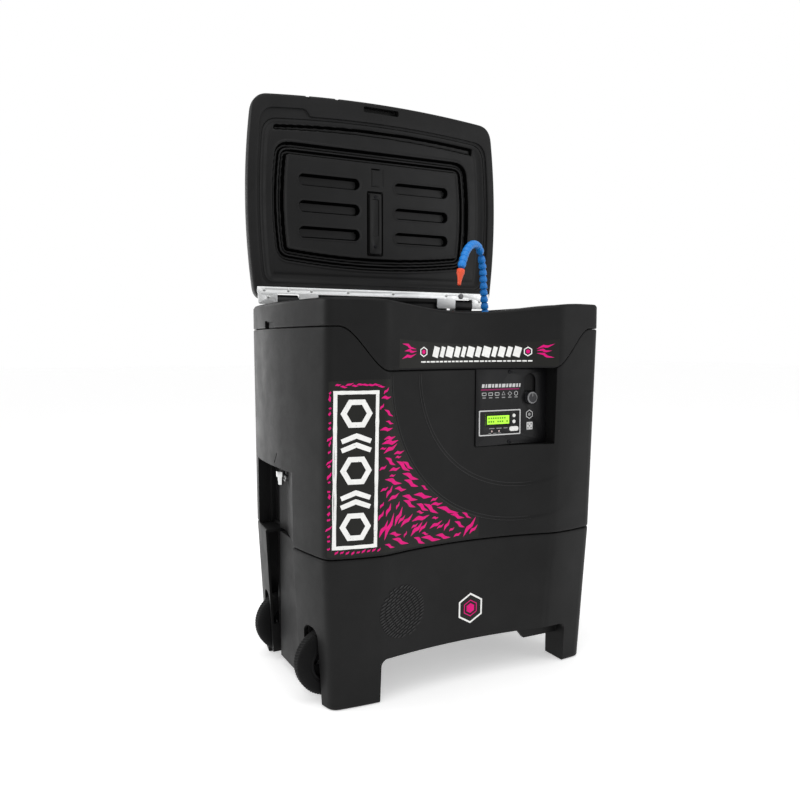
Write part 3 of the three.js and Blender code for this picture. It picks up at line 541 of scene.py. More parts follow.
def sdf(px, pz, poly):
    """Signed distance to a closed polygon, negative inside, and the nearest point on it."""
    A = np.array(poly, float)
    B = np.roll(A, -1, 0)
    best = np.full(px.shape, 1e18)
    nx, nz = np.zeros(px.shape), np.zeros(px.shape)
    inside = np.zeros(px.shape, bool)
    for (ax, az), (bx, bz) in zip(A, B):
        dx, dz = bx - ax, bz - az
        l2 = dx * dx + dz * dz
        if l2 < 1e-12:
            continue
        t = np.clip(((px - ax) * dx + (pz - az) * dz) / l2, 0, 1)
        qx, qz = ax + t * dx, az + t * dz
        d = (px - qx) ** 2 + (pz - qz) ** 2
        k = d < best
        best = np.where(k, d, best)
        nx, nz = np.where(k, qx, nx), np.where(k, qz, nz)
        c = ((az > pz) != (bz > pz)) & (px < dx * (pz - az) / (dz if abs(dz) > 1e-12 else 1e-12) + ax)
        inside ^= c
    d = np.sqrt(best)
    return np.where(inside, -d, d), nx, nz


def patch(poly, step, yfun):
    """A grid over a polygon in XZ, its border snapped to the polygon, each point at y = yfun(x, z)."""
    P = np.array(poly, float)
    x0, z0 = P.min(0)
    x1, z1 = P.max(0)
    nx_, nz_ = max(2, int(math.ceil((x1 - x0) / step)) + 1), max(2, int(math.ceil((z1 - z0) / step)) + 1)
    gx, gz = np.meshgrid(np.linspace(x0, x1, nx_), np.linspace(z0, z1, nz_))
    d, qx, qz = sdf(gx, gz, poly)
    st = max((x1 - x0) / (nx_ - 1), (z1 - z0) / (nz_ - 1))
    snap = (d > -0.45 * st) & (d < 0.75 * st)
    keep = (d <= 0) | snap
    gx, gz = np.where(snap, qx, gx), np.where(snap, qz, gz)
    y = yfun(gx, gz)
    idx = -np.ones(gx.shape, int)
    idx[keep] = np.arange(keep.sum())
    V = np.stack([gx[keep], y[keep], gz[keep]], 1)
    F = []
    for i in range(nz_ - 1):
        for j in range(nx_ - 1):
            q = [idx[i, j], idx[i, j + 1], idx[i + 1, j + 1], idx[i + 1, j]]
            q = [k for k in q if k >= 0]
            if len(q) >= 3:
                F.append(tuple(q))
    return V, F


def thick(o, t):
    """Gives a sheet a thickness away from the side that faces -Y."""
    bm = bmesh.new()
    bm.from_mesh(o.data)
    bmesh.ops.recalc_face_normals(bm, faces=bm.faces)
    s = sum(f.normal.y * f.calc_area() for f in bm.faces)
    if s > 0:
        bmesh.ops.reverse_faces(bm, faces=bm.faces)
    bm.to_mesh(o.data)
    bm.free()
    md = o.modifiers.new("thick", "SOLIDIFY")
    md.thickness, md.offset = t / 1000, -1
    return baked(o)


def merged(parts):
    V, F, n = [], [], 0
    for v, f in parts:
        V.append(np.asarray(v, float))
        F += [tuple(k + n for k in q) for q in f]
        n += len(v)
    return np.concatenate(V), F


# ------------------------------------------------------------------ the body plan, finely sampled
HW_FRONT, HW_BACK, HALF_D, BULGE = 391.0, 400.0, 267.5, 28.0
RIDGE_X, RIDGE, DIP_TOP, DIP_LOW, CORNER = 246.0, 24.0, 52.0, 38.0, 24.0
BASE_TOP, TANK_BOTTOM, SEAM, SEAM_MID, RIM, RIM_DIP, WALL = 366.0, 368.0, 905.0, 803.0, 970.0, 26.0, 7.0
OPEN_X, OPEN_Y = 316.0, 200.0


def front_sharp(x):
    a = np.minimum(np.abs(x), HW_FRONT)
    out = -RIDGE * np.sin(math.pi / 2 * (HW_FRONT - a) / (HW_FRONT - RIDGE_X))
    return np.where(a >= RIDGE_X, out, -RIDGE + DIP_TOP * (1 - (a / RIDGE_X) ** 2))


def front_offset(x):
    x = np.asarray(x, float)
    return sum(front_sharp(x + d) for d in np.linspace(-13, 13, 9)) / 9


def make_outline(front_n, side_n, corner_n, back_n):
    fx = np.linspace(-369, 369, front_n)
    front = np.stack([fx, -HALF_D + front_offset(fx)], 1)

    def side(t):
        return np.stack([lerp(HW_FRONT, HW_BACK, t) + BULGE * 4 * t * (1 - t), lerp(-HALF_D, HALF_D, t)], 1)
    t0 = CORNER / (2 * HALF_D)
    right = side(np.linspace(t0, 1 - t0, side_n))
    left = right[::-1] * np.array([-1, 1])
    bx = np.linspace(HW_BACK - CORNER, -(HW_BACK - CORNER), back_n)
    back = np.stack([bx, np.full(back_n, HALF_D)], 1)

    def corner(a, c, b):
        t = (np.arange(1, corner_n) / corner_n)[:, None]
        return (1 - t) ** 2 * a + 2 * t * (1 - t) * np.array(c) + t * t * b
    return np.concatenate([front, corner(front[-1], (HW_FRONT, -HALF_D), right[0]), right,
                           corner(right[-1], (HW_BACK, HALF_D), back[0]), back,
                           corner(back[-1], (-HW_BACK, HALF_D), left[0]), left,
                           corner(left[-1], (-HW_FRONT, -HALF_D), front[0])])


OUT = make_outline(187, 40, 7, 60)
OUT_LOW = make_outline(41, 14, 4, 4)


def normals(P):
    a, b = np.roll(P, 1, 0), np.roll(P, -1, 0)
    t = b - a
    t /= np.linalg.norm(t, axis=1)[:, None]
    return np.stack([-t[:, 1], t[:, 0]], 1)      # inward for a counter-clockwise outline


NRM, NRM_LOW = normals(OUT), normals(OUT_LOW)


def warp(x, y, z):
    x, y, z = (np.asarray(v, float) for v in np.broadcast_arrays(x, y, z))
    f = np.where(z >= SEAM, 0.0, np.where(z >= BASE_TOP, (SEAM - z) / (SEAM - BASE_TOP), 1.0))
    g = np.where(z >= BASE_TOP, 0.0, (BASE_TOP - z) / BASE_TOP)
    hw = HW_FRONT - 3 * f - 18 * g
    yf, yb = HALF_D - 20 * f - 16 * g, HALF_D - 5 * f - 12 * g
    dip = DIP_TOP + (DIP_LOW - DIP_TOP) * f - 16 * g
    ridge = RIDGE * (1 - 0.5 * g)
    w = smooth(-150, -215, y)
    a = np.abs(x)
    shape = np.where(a >= RIDGE_X, np.sin(math.pi / 2 * (HW_FRONT - np.minimum(a, HW_FRONT)) / (HW_FRONT - RIDGE_X)), 1.0)
    yy = np.where(y < 0, y * yf / HALF_D, y * yb / HALF_D)
    yy = yy - np.where(a < RIDGE_X, (DIP_TOP - dip) * (1 - (a / RIDGE_X) ** 2) * w, 0)
    yy = yy + (RIDGE - ridge) * shape * w
    return x * hw / HW_FRONT, yy, z


ARC_X, ARC_Z, ARC_1, ARC_2 = 150.0, 800.0, 388.0, 298.0


def arcs(x, z):
    """Depth of the round terraces pressed into the tank's front."""
    d = np.hypot(x - ARC_X, z - ARC_Z)
    fade = 1 - smooth(190, 300, x)
    return (2.0 * (1 - smooth(ARC_1 - 4, ARC_1 + 4, d)) + 1.6 * (1 - smooth(ARC_2 - 4, ARC_2 + 4, d))) * fade * smooth(360, 376, z)


def ring_at(z, inset=0.0, low=False, arc=False):
    P, Nn = (OUT_LOW, NRM_LOW) if low else (OUT, NRM)
    x, y, zz = warp(P[:, 0] + Nn[:, 0] * inset, P[:, 1] + Nn[:, 1] * inset, z)
    if arc:
        front = smooth(-150, -205, y)
        y = y + arcs(x, zz) * front
    return np.stack([x, y, zz], 1)


FRONT = OUT[np.argsort(OUT[:, 0])]
FRONT = FRONT[FRONT[:, 1] < -205]


def surf_y(x, z, arc=True):
    x, z = np.asarray(x, float), np.asarray(z, float)
    f = np.where(z >= SEAM, 0.0, np.where(z >= BASE_TOP, (SEAM - z) / (SEAM - BASE_TOP), 1.0))
    g = np.where(z >= BASE_TOP, 0.0, (BASE_TOP - z) / BASE_TOP)
    xo = x * HW_FRONT / (HW_FRONT - 3 * f - 18 * g)
    yo = np.interp(xo, FRONT[:, 0], FRONT[:, 1])
    y = warp(xo, yo, z)[1]
    if arc:
        y = y + arcs(x, z) * (z > TANK_BOTTOM) * (z < 900)
    return y


def seam_z(x):
    return SEAM_MID + (SEAM - SEAM_MID) * np.where(x < 0, smooth(243, 366, -x), smooth(230, 351, x))


def rim_z(x, y):
    dip = RIM_DIP * np.where(np.abs(x) < 325, 0.5 + 0.5 * np.cos(np.pi * x / 325), 0)
    return RIM - dip * smooth(-150, -192, y)


def seam_at(P):
    return np.where(P[:, 1] < 0, seam_z(P[:, 0]), SEAM)


def round_rows(r, n=4):
    """(inset, height) pairs of a quarter round that ends flat."""
    return [(r * (1 - math.cos(a)), r * math.sin(a)) for a in np.linspace(0, math.pi / 2, n + 1)]


# ------------------------------------------------------------------ base moulding


rows = []
for ins, h in reversed(round_rows(4)):
    rows.append(ring_at(0 + 4 - h, ins))
rows += [ring_at(z) for z in np.linspace(4, 361, 62)[1:]]
for ins, h in round_rows(5)[1:]:
    rows.append(ring_at(361 + h, ins))
base = raw("base", *loft(rows))
inner = raw("tool", *loft([ring_at(z, WALL, low=True) for z in (104, 150, 240, 300, BASE_TOP - 7)]))
cut(base, inner)
W_X, W_Z, W_Y, W_HALF = -352.0, 96.0, 158.0, 32.0
cut(base,
    prism(rr(-248, 307, -40, 108, 18, 8), "y", -400, 400),
    box(300, 500, -163, 182, -10, 108),
    box(-374, -240, -128, 128, -10, 106),
    box(-470, -371, -128, 128, -10, 26),
    prism(rr(-W_Y - W_HALF, -W_Y + W_HALF, -40, 188, 26, 10), "x", -480, -262),
    prism(rr(W_Y - W_HALF, W_Y + W_HALF, -40, 188, 26, 10), "x", -480, -262),
    box(-480, -386, -92, 86, 20, 400),
    box(-480, -362, 86, 118, 20, 400))
chan = box(-380, -355, 79, 125, 27, 362)
cut(chan, box(-480, -362, 86, 118, 0, 400))
join(base, chan, box(-378, -360, 94, 98, 27, 362), box(-377, -296, -125, -116, 30, 150), box(-377, -296, 116, 125, 30, 150),
     prism([(165, 112), (198, 72), (309, 72), (309, 112)], "y", -208, -196), box(-386, -378.5, -99, 90, 26, 362))
cut(base, box(W_X - 8.5, W_X + 8.5, -216, -105, W_Z - 8.5, W_Z + 8.5),
    box(W_X - 8.5, W_X + 8.5, 105, 216, W_Z - 8.5, W_Z + 8.5),
    box(386, 480, -92, 86, 130, 400), box(372, 480, 86, 118, 130, 400))
chan = box(365, 380, 79, 125, 112, 362)
cut(chan, box(372, 480, 86, 118, 0, 400))
join(base, chan, box(378.5, 386, -99, 90, 112, 362))
finish_piece(base, "base_moulding", "washer", "body", ["base_shell"], 30)

# ------------------------------------------------------------------ tank moulding
top = seam_at(OUT) - 1
rows = []
for ins, h in reversed(round_rows(4)):
    rows.append(ring_at(TANK_BOTTOM + 4 - h, ins))
for s in np.linspace(0, 1, 122)[1:]:
    rows.append(ring_at(lerp(TANK_BOTTOM + 4, top - 4, s), 0, arc=True))
for ins, h in round_rows(4)[1:]:
    rows.append(ring_at(top - 4 + h, ins, arc=True))
rows.append(ring_at(np.minimum(top, SEAM - 1), WALL))
tank = raw("tank", *loft(rows))
inner = raw("tool", *loft([ring_at(z, WALL, low=True) for z in (TANK_BOTTOM + 7, 480, 640, 760, SEAM + 5)]))


def recess(sign, o):
    pts = [(480, 205 + o), (373 - o, 205 + o), (373 - o, 70), (408 - o, -95 - 2 * o), (480, -95 - 2 * o)]
    return prism([(sign * x, y) for x, y in pts], "z", 300, 552 + o)


cut(inner, recess(-1, WALL), recess(1, WALL), box(12, 250, -400, -223, 597, 892))
cut(tank, inner, recess(-1, 0), recess(1, 0),
    prism(rr(20.5, 241, 605, 1000, 3, 4), "y", -420, -231),
    box(-480, -366, 128, 196, 360, 546),
    prism(rr(41.5, 203.5, 619, 743, 3, 3), "y", -240, -200),
    prism([(21, 560), (25, 560.5), (2, 590), (-1, 589)], "x", -440, -418.6),
    lathe([(6.5, 0), (6.5, 60)], "x", (-400, 60, 514), 24),
    lathe([(9.5, 0), (9.5, 40)], "y", (300, 280, 470), 32),
    lathe([(31, 0), (31, 40)], "y", (-150, 280, 430), 40))
slotb = box(-373, -352, 121, 203, 372, 553)
cut(slotb, box(-400, -359, 128, 196, 0, 546))
join(tank, slotb)
finish_piece(tank, "tank_moulding", "washer", "body", ["tank_shell"], 30)

# ------------------------------------------------------------------ top ring
ang = np.arctan2(OUT[:, 1], OUT[:, 0])


def opening(hx, hy, r):
    """The point of a rounded rectangle that lies in each outline point's direction."""
    c, s = np.cos(ang), np.sin(ang)
    k = np.minimum(hx / np.maximum(np.abs(c), 1e-9), hy / np.maximum(np.abs(s), 1e-9))
    x, y = c * k, s * k
    cx, cy = hx - r, hy - r
    ax, ay = np.abs(x), np.abs(y)
    inc = (ax > cx) & (ay > cy)
    # ray meets the corner circle
    bq = np.abs(c) * cx + np.abs(s) * cy
    disc = np.maximum(bq * bq - (cx * cx + cy * cy - r * r), 0)
    kc = bq + np.sqrt(disc)
    k = np.where(inc, np.minimum(k, kc), k)
    return np.stack([c * k, s * k], 1)


op0 = opening(OPEN_X, OPEN_Y, 30)
bottom = np.minimum(seam_at(OUT), SEAM)
in7 = ring_at(SEAM, WALL)
rows = [np.stack([op0[:, 0], op0[:, 1], np.full(len(op0), 904.6)], 1)]
rows.append(np.stack([in7[:, 0], in7[:, 1], np.full(len(op0), 904.9)], 1))
rows.append(ring_at(np.minimum(bottom + 0.5, SEAM), WALL))
for ins, h in reversed(round_rows(3.5)):
    rows.append(ring_at(bottom + 3.5 - h + 0.3, ins))
R_TOP = 9.0
zt_out = rim_z(OUT[:, 0], OUT[:, 1])
for s in np.linspace(0, 1, 24)[1:]:
    rows.append(ring_at(lerp(bottom + 3.8, zt_out - R_TOP, s)))
for ins, h in round_rows(R_TOP, 6)[1:]:
    r_ = ring_at(zt_out - R_TOP + h, ins)
    rows.append(r_)
edge = rows[-1].copy()
op_e = opening(OPEN_X + 6, OPEN_Y + 6, 36)
for t in np.linspace(0, 1, 8)[1:]:
    x, y = lerp(edge[:, 0], op_e[:, 0], t), lerp(edge[:, 1], op_e[:, 1], t)
    rows.append(np.stack([x, y, lerp(edge[:, 2], rim_z(op_e[:, 0], op_e[:, 1]), t)], 1))
for i in range(1, 5):
    a = math.pi / 2 * i / 4
    o_ = opening(OPEN_X + 6 - 6 * math.sin(a), OPEN_Y + 6 - 6 * math.sin(a), 36 - 6 * math.sin(a))
    rows.append(np.stack([o_[:, 0], o_[:, 1], rim_z(op_e[:, 0], op_e[:, 1]) - 6 * (1 - math.cos(a))], 1))
ring = raw("ring", *loft(rows, cyclic=True))
cut(ring, box(-500, 500, 232, 400, 962.5, 1000), box(-500, -413, 60, 84, 880, 924), box(-500, -418.6, 6, 84, 897, 921))
finish_piece(ring, "top_moulding", "washer", "body", ["top_ring"], 30)

# ------------------------------------------------------------------ sink basin
prof = [(336, 218, 899), (336, 218, 904), (316, 200, 904.2), (311, 195, 903), (309.5, 193.5, 898), (307, 191, 880), (303, 187, 830), (297, 181, 780), (290, 176, 768), (276, 166, 758), (250, 150, 751),
        (200, 122, 745), (140, 88, 739), (90, 60, 734), (60, 46, 732), (45, 40, 731), (33, 33, 731), (28.5, 28.5, 729), (28.5, 28.5, 716), (33, 33, 716),
        (33, 33, 725), (60, 48, 726), (140, 92, 733), (200, 127, 739), (250, 156, 745), (280, 172, 752), (297, 183, 764), (303, 187.5, 780), (309, 193, 830), (313, 197, 880), (316, 199.5, 896), (322, 206, 899)]
rows = []
for hx, hy, z in prof:
    o_ = opening(hx, hy, min(34 if hx > 200 else min(hx, hy) * 0.999, min(hx, hy)))
    rows.append(np.stack([o_[:, 0], o_[:, 1], np.full(len(o_), float(z))], 1))
basin = raw("basin", *loft(rows, cyclic=True))
shelf_rows = [np.array([(x, y, z) for x, y in rr(196 + i, 305 - i, 26 + i, 192 - i, 14, 6)]) for i, z in ((0, 766), (0, 919), (0.8, 922.4), (2.6, 924.3), (6, 925))]
shelf = raw("tool", *loft(shelf_rows))
join(basin, shelf)
cut(basin, prism(rr(203, 298, 33, 185, 10, 4), "z", 700, 919), lathe([(7.8, 0), (7.8, 60)], "z", (252, 72, 890), 24))
finish_piece(basin, "sink_bowl", "washer", "basin", ["sink_basin"], 30)

# ------------------------------------------------------------------ wheels
for tag, s in (("front", -1), ("rear", 1)):
    y = s * W_Y
    prof = [(50.4, -22), (60, -22), (68, -21.6), (74, -20), (78.5, -17), (81, -13.5)]
    prof += [(82, v) for v in np.linspace(-11, 11, 15)]
    prof += [(p, -v) for p, v in reversed(prof[:6])]
    n = 432
    th = np.arange(n) * 2 * math.pi / n
    rings_ = []
    for r, v in prof:
        k = 0.9 * smooth(70, 79, r)
        rib = 0.5 + 0.5 * np.sin(72 * th + v * 0.32)
        rr_ = r - k * 1.5 * (1 - smooth(0.25, 0.6, rib))
        rings_.append(np.stack([rr_ * np.cos(th), rr_ * np.sin(th), np.full(n, float(v))], 1))
    V, F = loft(rings_, cyclic=True)
    tyre = raw("tyre", turn_to(V, "y", (W_X, y, W_Z)), F)
    finish_piece(tyre, f"wheel_{tag}_rubber", f"{tag}_wheel", "tyre", [f"wheel_{tag}_tyre"], 50)
    hub = lathe([(8.6, -23), (14.5, -23), (16, -21.5), (16, -7.5), (17.5, -6), (40.5, -6), (42, -7.5), (42, -19), (43.5, -20.5), (49, -20.5), (50.2, -19.5),
                 (50.2, 19.5), (49, 20.5), (43.5, 20.5), (42, 19), (42, 7.5), (40.5, 6), (17.5, 6), (16, 7.5), (16, 21.5), (14.5, 23), (8.6, 23)], "y", (W_X, y, W_Z), 72, True)
    for i in range(6):
        a = i * math.pi / 3
        V, F = turned([(6.5, -15), (6.5, 15)], 24)
        cut(hub, raw("tool", turn_to(V, "y", (W_X + 29 * math.cos(a), y, W_Z + 29 * math.sin(a))), F))
    finish_piece(hub, f"wheel_{tag}_centre", f"{tag}_wheel", "hub", [f"wheel_{tag}_hub"], 35)
for tag in ("front", "rear"):
    refine(f"axle_{tag}", "zinc", 0.8)

# ------------------------------------------------------------------ lid
LID_IN, LID_T, LID_BOT, LID_EDGE = 262.0, 44.0, 992.0, 36.0


def lid_hw(z):
    t = (z - LID_BOT) / (1560 - LID_BOT)
    return lerp(392, 391, t) + 20 * 4 * t * (1 - t)


def lid_outline(inset, zb, zt, crown, ns=44, nt_=70, nc=10, rc=1.0):
    z = np.linspace(zb + 34, zt - 44, ns)
    side = np.stack([lid_hw(z) - inset, z], 1)
    w = lid_hw(zt) - inset - 40
    x = np.linspace(w, -w, nt_)
    top_ = np.stack([x, zt + crown * (1 - (x / (w + 40)) ** 2)], 1)
    bw = lid_hw(zb) - inset - 26
    bot = np.stack([np.linspace(-bw, bw, nt_), np.full(nt_, float(zb))], 1)
    left = side[::-1] * np.array([-1, 1])

    def q(a, c, b_):
        t = (np.arange(1, nc) / nc)[:, None]
        return (1 - t) ** 2 * a + 2 * t * (1 - t) * np.array(c) + t * t * b_
    return np.concatenate([bot, q(bot[-1], (lid_hw(zb) - inset, zb), side[0]), side, q(side[-1], (lid_hw(zt) - inset, zt), top_[0]),
                           top_, q(top_[-1], (-(lid_hw(zt) - inset), zt), left[0]), left, q(left[-1], (-(lid_hw(zb) - inset), zb), bot[0])])


def at_y(P, y):
    return np.stack([P[:, 0], np.broadcast_to(np.asarray(y, float), (len(P),)), P[:, 1]], 1)


def inset_poly(P, d):
    return P + normals(P) * d


o_out = lid_outline(0, LID_BOT, 1560, 20)
o_pock = lid_outline(LID_EDGE, 1040, 1496, 18)
o_step = lid_outline(LID_EDGE - 8, 1034, 1503, 18)
bump_l = (1 - smooth(-240, -222, o_step[:, 0])) * smooth(1440, 1475, o_step[:, 1])
o_step = np.stack([o_step[:, 0], o_step[:, 1] + 21 * bump_l], 1)
rows = [at_y(o_pock, 300), at_y(o_pock, 270), at_y(inset_poly(o_pock, -0.6), 268.6), at_y(inset_poly(o_pock, -1.6), 268)]
rows += [at_y(inset_poly(o_step, 1.2), 268), at_y(o_step, 267), at_y(o_step, 263.6), at_y(inset_poly(o_step, -0.5), 262.5), at_y(inset_poly(o_step, -1.6), 262)]
for t in (0.33, 0.66):
    rows.append(at_y(lerp(inset_poly(o_step, -1.6), inset_poly(o_out, 7), t), 262))
for a in np.linspace(0, math.pi / 2, 6):
    rows.append(at_y(inset_poly(o_out, 7 * (1 - math.sin(a))), 262 + 7 * (1 - math.cos(a))))
rows.append(at_y(o_out, 276))
for a in np.linspace(0, math.pi / 2, 9):
    rows.append(at_y(inset_poly(o_out, 15 * (1 - math.cos(a))), 283 + 23 * math.sin(a)))
back = inset_poly(o_out, 15)
mid_ = np.array([0.0, 1276.0])
for t in (0.12, 0.3, 0.55, 0.8):
    rows.append(at_y(lerp(back, mid_, t), 306))
lid = raw("lid", *loft(rows))
cut(lid,
    prism(rr(-56, 60, 1550, 1567, 5, 6), "y", LID_IN - 5, LID_IN + 24),
    prism(rr(-237, -224, 1565, 1610, 3, 3), "y", 250, 275), prism(rr(-146, -133, 1571, 1610, 3, 3), "y", 250, 275),
    prism(rr(-347, -246, 960, 1011, 4, 3), "y", 250, 320), prism(rr(244, 343, 960, 1011, 4, 3), "y", 250, 320))
join(lid, prism(rr(-238, 236, 967.5, 1000, 3, 3), "y", 269, 284))
finish_piece(lid, "lid_moulding", "lid", "lid", ["lid_shell"], 30)

Y0 = LID_IN + 12
MX = -10.0


def bowed(e, n=26):
    hw, zb, zt, r = 313 - e, 1110 + e, 1437 - e, max(34 - e * 0.35, 12)
    x = np.linspace(-hw + r, hw - r, n)
    bot = np.stack([MX + x, zb - 20 * (1 - (x / hw) ** 2)], 1)
    z = np.linspace(zb + r, zt - r, n)
    t = (z - zb) / (zt - zb)
    side = np.stack([MX + hw + 11 * 4 * t * (1 - t), z], 1)
    topp = np.stack([MX + np.linspace(hw - r, -hw + r, n), np.full(n, float(zt))], 1)
    left = np.stack([2 * MX - side[::-1, 0], side[::-1, 1]], 1)

    def q(a, b_, c):
        t_ = (np.arange(1, 6) / 6)[:, None]
        return (1 - t_) ** 2 * a + 2 * t_ * (1 - t_) * np.array(c) + t_ * t_ * b_
    return np.concatenate([bot, q(bot[-1], side[0], (side[0, 0], bot[-1, 1])), side, q(side[-1], topp[0], (side[-1, 0], topp[0, 1])),
                           topp, q(topp[-1], left[0], (left[0, 0], topp[-1, 1])), left, q(left[-1], bot[0], (left[-1, 0], bot[0, 1]))])


POCKETS = [(x0, x1, zc) for zc in (1339, 1263, 1189) for x0, x1 in ((-257, -66), (52, 239))]


def liner_y(x, z):
    y = np.full(x.shape, Y0)
    dm, _, _ = sdf(x, z, bowed(14))
    am = np.abs(dm)
    y = y + 14 * (1 - smooth(11.4, 17.4, am))
    # low bead along the middle of the groove, and a raised lip on both its sides
    y = y - 8.0 * (1 - smooth(1.6, 7.4, am))
    y = y - 1.3 * np.exp(-((am - 20.5) / 3.2) ** 2)
    for x0, x1, zc in POCKETS:
        h = 15.9
        px = np.clip(x, x0 + h, x1 - h)
        d = np.hypot(x - px, z - zc) - h
        y = y + 17.5 * (1 - smooth(-4.2, 0.6, d)) - 1.0 * np.exp(-((d - 3.0) / 2.4) ** 2)
    sq = np.maximum(np.abs(x + 5.5) - 19.5, np.abs(z - 1365) - 25)
    y = y + 1.6 * (1 - smooth(-1.0, 1.4, sq)) + 2.6 * np.exp(-((sq + 0.6) / 1.5) ** 2) * (x < 2)
    # bearing pad of the small plate
    pl = np.maximum(np.abs(x + 14) - 22, np.abs(z - 1227) - 92)
    y = y + 0.9 * (1 - smooth(-0.5, 2.5, pl)) + 4.0 * np.exp(-((pl - 1.6) / 1.7) ** 2)
    de, _, _ = sdf(x, z, lid_outline(LID_EDGE + 0.6, 1040.6, 1495.4, 18, 30, 40, 6))
    y = y - 3.6 * smooth(-14, -2, de) + 5.0 * np.exp(-((de + 22) / 7.0) ** 2) * 0.35
    top_edge = 1495.4 + 18 * (1 - (x / 352) ** 2)
    w_ = lerp(5.0, 8.5, np.clip((x + 330) / 640, 0, 1))
    q_ = np.abs(z - (top_edge - 21)) - w_
    y = y + 11 * (1 - smooth(-3.4, 2.4, q_)) * (1 - smooth(322, 332, np.abs(x)))
    return y


V, F = patch(lid_outline(LID_EDGE + 0.7, 1040.7, 1495.3, 18, 60, 90, 8), 2.0, liner_y)
liner = raw("liner", V, F)
thick(liner, 2.2)
finish_piece(liner, "lid_inner_panel", "lid", "liner", ["lid_liner"], 40)
refine("lid_tool_plate", "liner", 0.9, 3)


# ------------------------------------------------------------------ screws
def screw(name, x, z, y_face, r, body, node, h=2.0, mat="zinc"):
    """Pan head with a cross recess, facing -Y."""
    prof = [(0.01, h)] + [(r * math.sin(a), h * (0.35 + 0.65 * math.cos(a))) for a in np.linspace(0.2, math.pi / 2, 7)] + [(r, 0.0), (r * 0.45, 0.0), (r * 0.45, -3), (0.01, -3)]
    o = lathe(prof, "y", (x, y_face, z), 32)
    w, L = r * 0.16, r * 0.56
    a = rad(20 + (x * 7 + z * 3) % 50)
    for k in (0, math.pi / 2):
        c, s = math.cos(a + k), math.sin(a + k)
        pts = [(x + u * c - v * s, z + u * s + v * c) for u, v in ((-L, -w), (L, -w), (L, w), (-L, w))]
        cut(o, prism(pts, "y", y_face - h - 1, y_face - h * 0.35))
    return finish_piece(o, name, body, mat, [node], 40)


yl = LID_IN - 3.6
for i, (x, z) in enumerate([(-368, 1018), (-357, 999), (-296, 1018), (-226, 1018), (-110, 1018), (40, 1018), (228, 1018), (352, 1003)]):
    screw(f"leaf_screw_{i + 1}", x, z, yl - 0.25, 4.2, "lid", f"hinge_screw_{i + 1}", 2.0)
for tag, z in (("upper", 1308), ("lower", 1160)):
    screw(f"plate_screw_{tag}", -15, z, Y0 - 4.6, 5.2, "lid", f"tool_plate_screw_{tag}", 2.3, "dark_zinc")
P_Y = -238.0
screw("front_screw_top", 124, 794, P_Y - 0.2, 5.0, "washer", "panel_screw_top", 2.2, "dark_zinc")
screw("front_screw_bottom", 124, 614, P_Y - 0.2, 5.0, "washer", "panel_screw_bottom", 2.2, "dark_zinc")
refine("hinge_leaf", "steel", 0.35, 2, 40)
buf = lathe([(0.01, 4.3), (5.5, 4.2), (7.6, 3.6), (8.5, 2.4), (8.5, 0.2), (2.4, 0.2), (2.4, -3), (0.01, -3)], "y", (282, yl, 1017.5), 40)
finish_piece(buf, "leaf_buffer", "lid", "buffer", ["lid_buffer"], 40)
for tag in ("left", "right"):
    refine(f"hinge_block_{tag}", "gland", 1.0, 3)
    refine(f"hinge_pin_{tag}", "zinc", 0.5)

# ------------------------------------------------------------------ controls
refine("control_plate", "panel", 0.5, 2)
refine("display_frame", "ink", 0.25, 2)
lcd = raw("lcd", *loft([np.array([(x, y, z) for x, z in rr(50.5 + i, 125.5 - i, 655.5 + i, 688.5 - i, 1.5, 5)]) for i, y in ((0, P_Y + 2.4), (0, P_Y + 0.8), (0.4, P_Y + 0.4))]))
finish_piece(lcd, "display_glass", "washer", "lcd", ["lcd_window"], 30)
bz = [[(50.5, 655.5), (125.5, 655.5), (125.5, 660.6), (50.5, 660.6)], [(50.5, 682.4), (125.5, 682.4), (125.5, 688.5), (50.5, 688.5)],
      [(50.5, 660.6), (55.7, 660.6), (55.7, 682.4), (50.5, 682.4)], [(123.6, 660.6), (125.5, 660.6), (125.5, 682.4), (123.6, 682.4)]]
o = thick(raw("bezel", *merged([([(x, P_Y + 0.32, z) for x, z in q], [(0, 1, 2, 3)]) for q in bz])), 0.18)
finish_piece(o, "display_bezel", "washer", "panel", (), 30)
bars = []
for r_, z in enumerate((676, 667.2)):
    for k in range(9):
        x = 59.5 + k * 6.9
        if (r_ == 1 and k in (3, 7)) or (r_ == 0 and k == 8):
            continue
        v = [(x, P_Y + 0.33, z - 2.2), (x + 4.4, P_Y + 0.33, z - 2.2), (x + 4.4, P_Y + 0.33, z + 2.3), (x, P_Y + 0.33, z + 2.3)]
        bars.append((v, [(0, 1, 2, 3)]))
o = thick(raw("bars", *merged(bars)), 0.15)
finish_piece(o, "display_marks", "washer", "lcd_dark", (), 30)


def key(profile_pts, x, z, name, body, node):
    prof = [(p * 1.0, h) for p, h in profile_pts]
    o = lathe(prof, "y", (x, P_Y, z), 48)
    return finish_piece(o, name, body, "key", [node], 35)


kp = [(0.01, 1.75), (2.4, 1.72), (3.9, 1.5), (4.5, 1.05), (4.7, 0.4), (4.7, -3.6), (6.4, -3.6), (6.4, -4.9), (0.01, -4.9)]
key(kp, 138, 681, "key_up", "up_key", "button_up")
key(kp, 138, 665.5, "key_down", "down_key", "button_down")
rows = [np.array([(x, y, z) for x, z in rr(122 + i, 154 - i, 639 + i, 655 - i, 7 - i * 0.3, 6)]) for i, y in ((0, P_Y + 5), (0, P_Y + 3.6))]
rows += [np.array([(x, y, z) for x, z in rr(123.9 + i, 152.1 - i, 640.9 + i, 653.1 - i, 5.9 - i * 0.9, 6)]) for i, y in ((0, P_Y + 3.5), (0, P_Y - 0.6), (0.25, P_Y - 1.2), (0.9, P_Y - 1.6), (1.8, P_Y - 1.8))]
finish_piece(raw("k", *loft(rows)), "key_start", "start_key", "key", ["button_start"], 35)
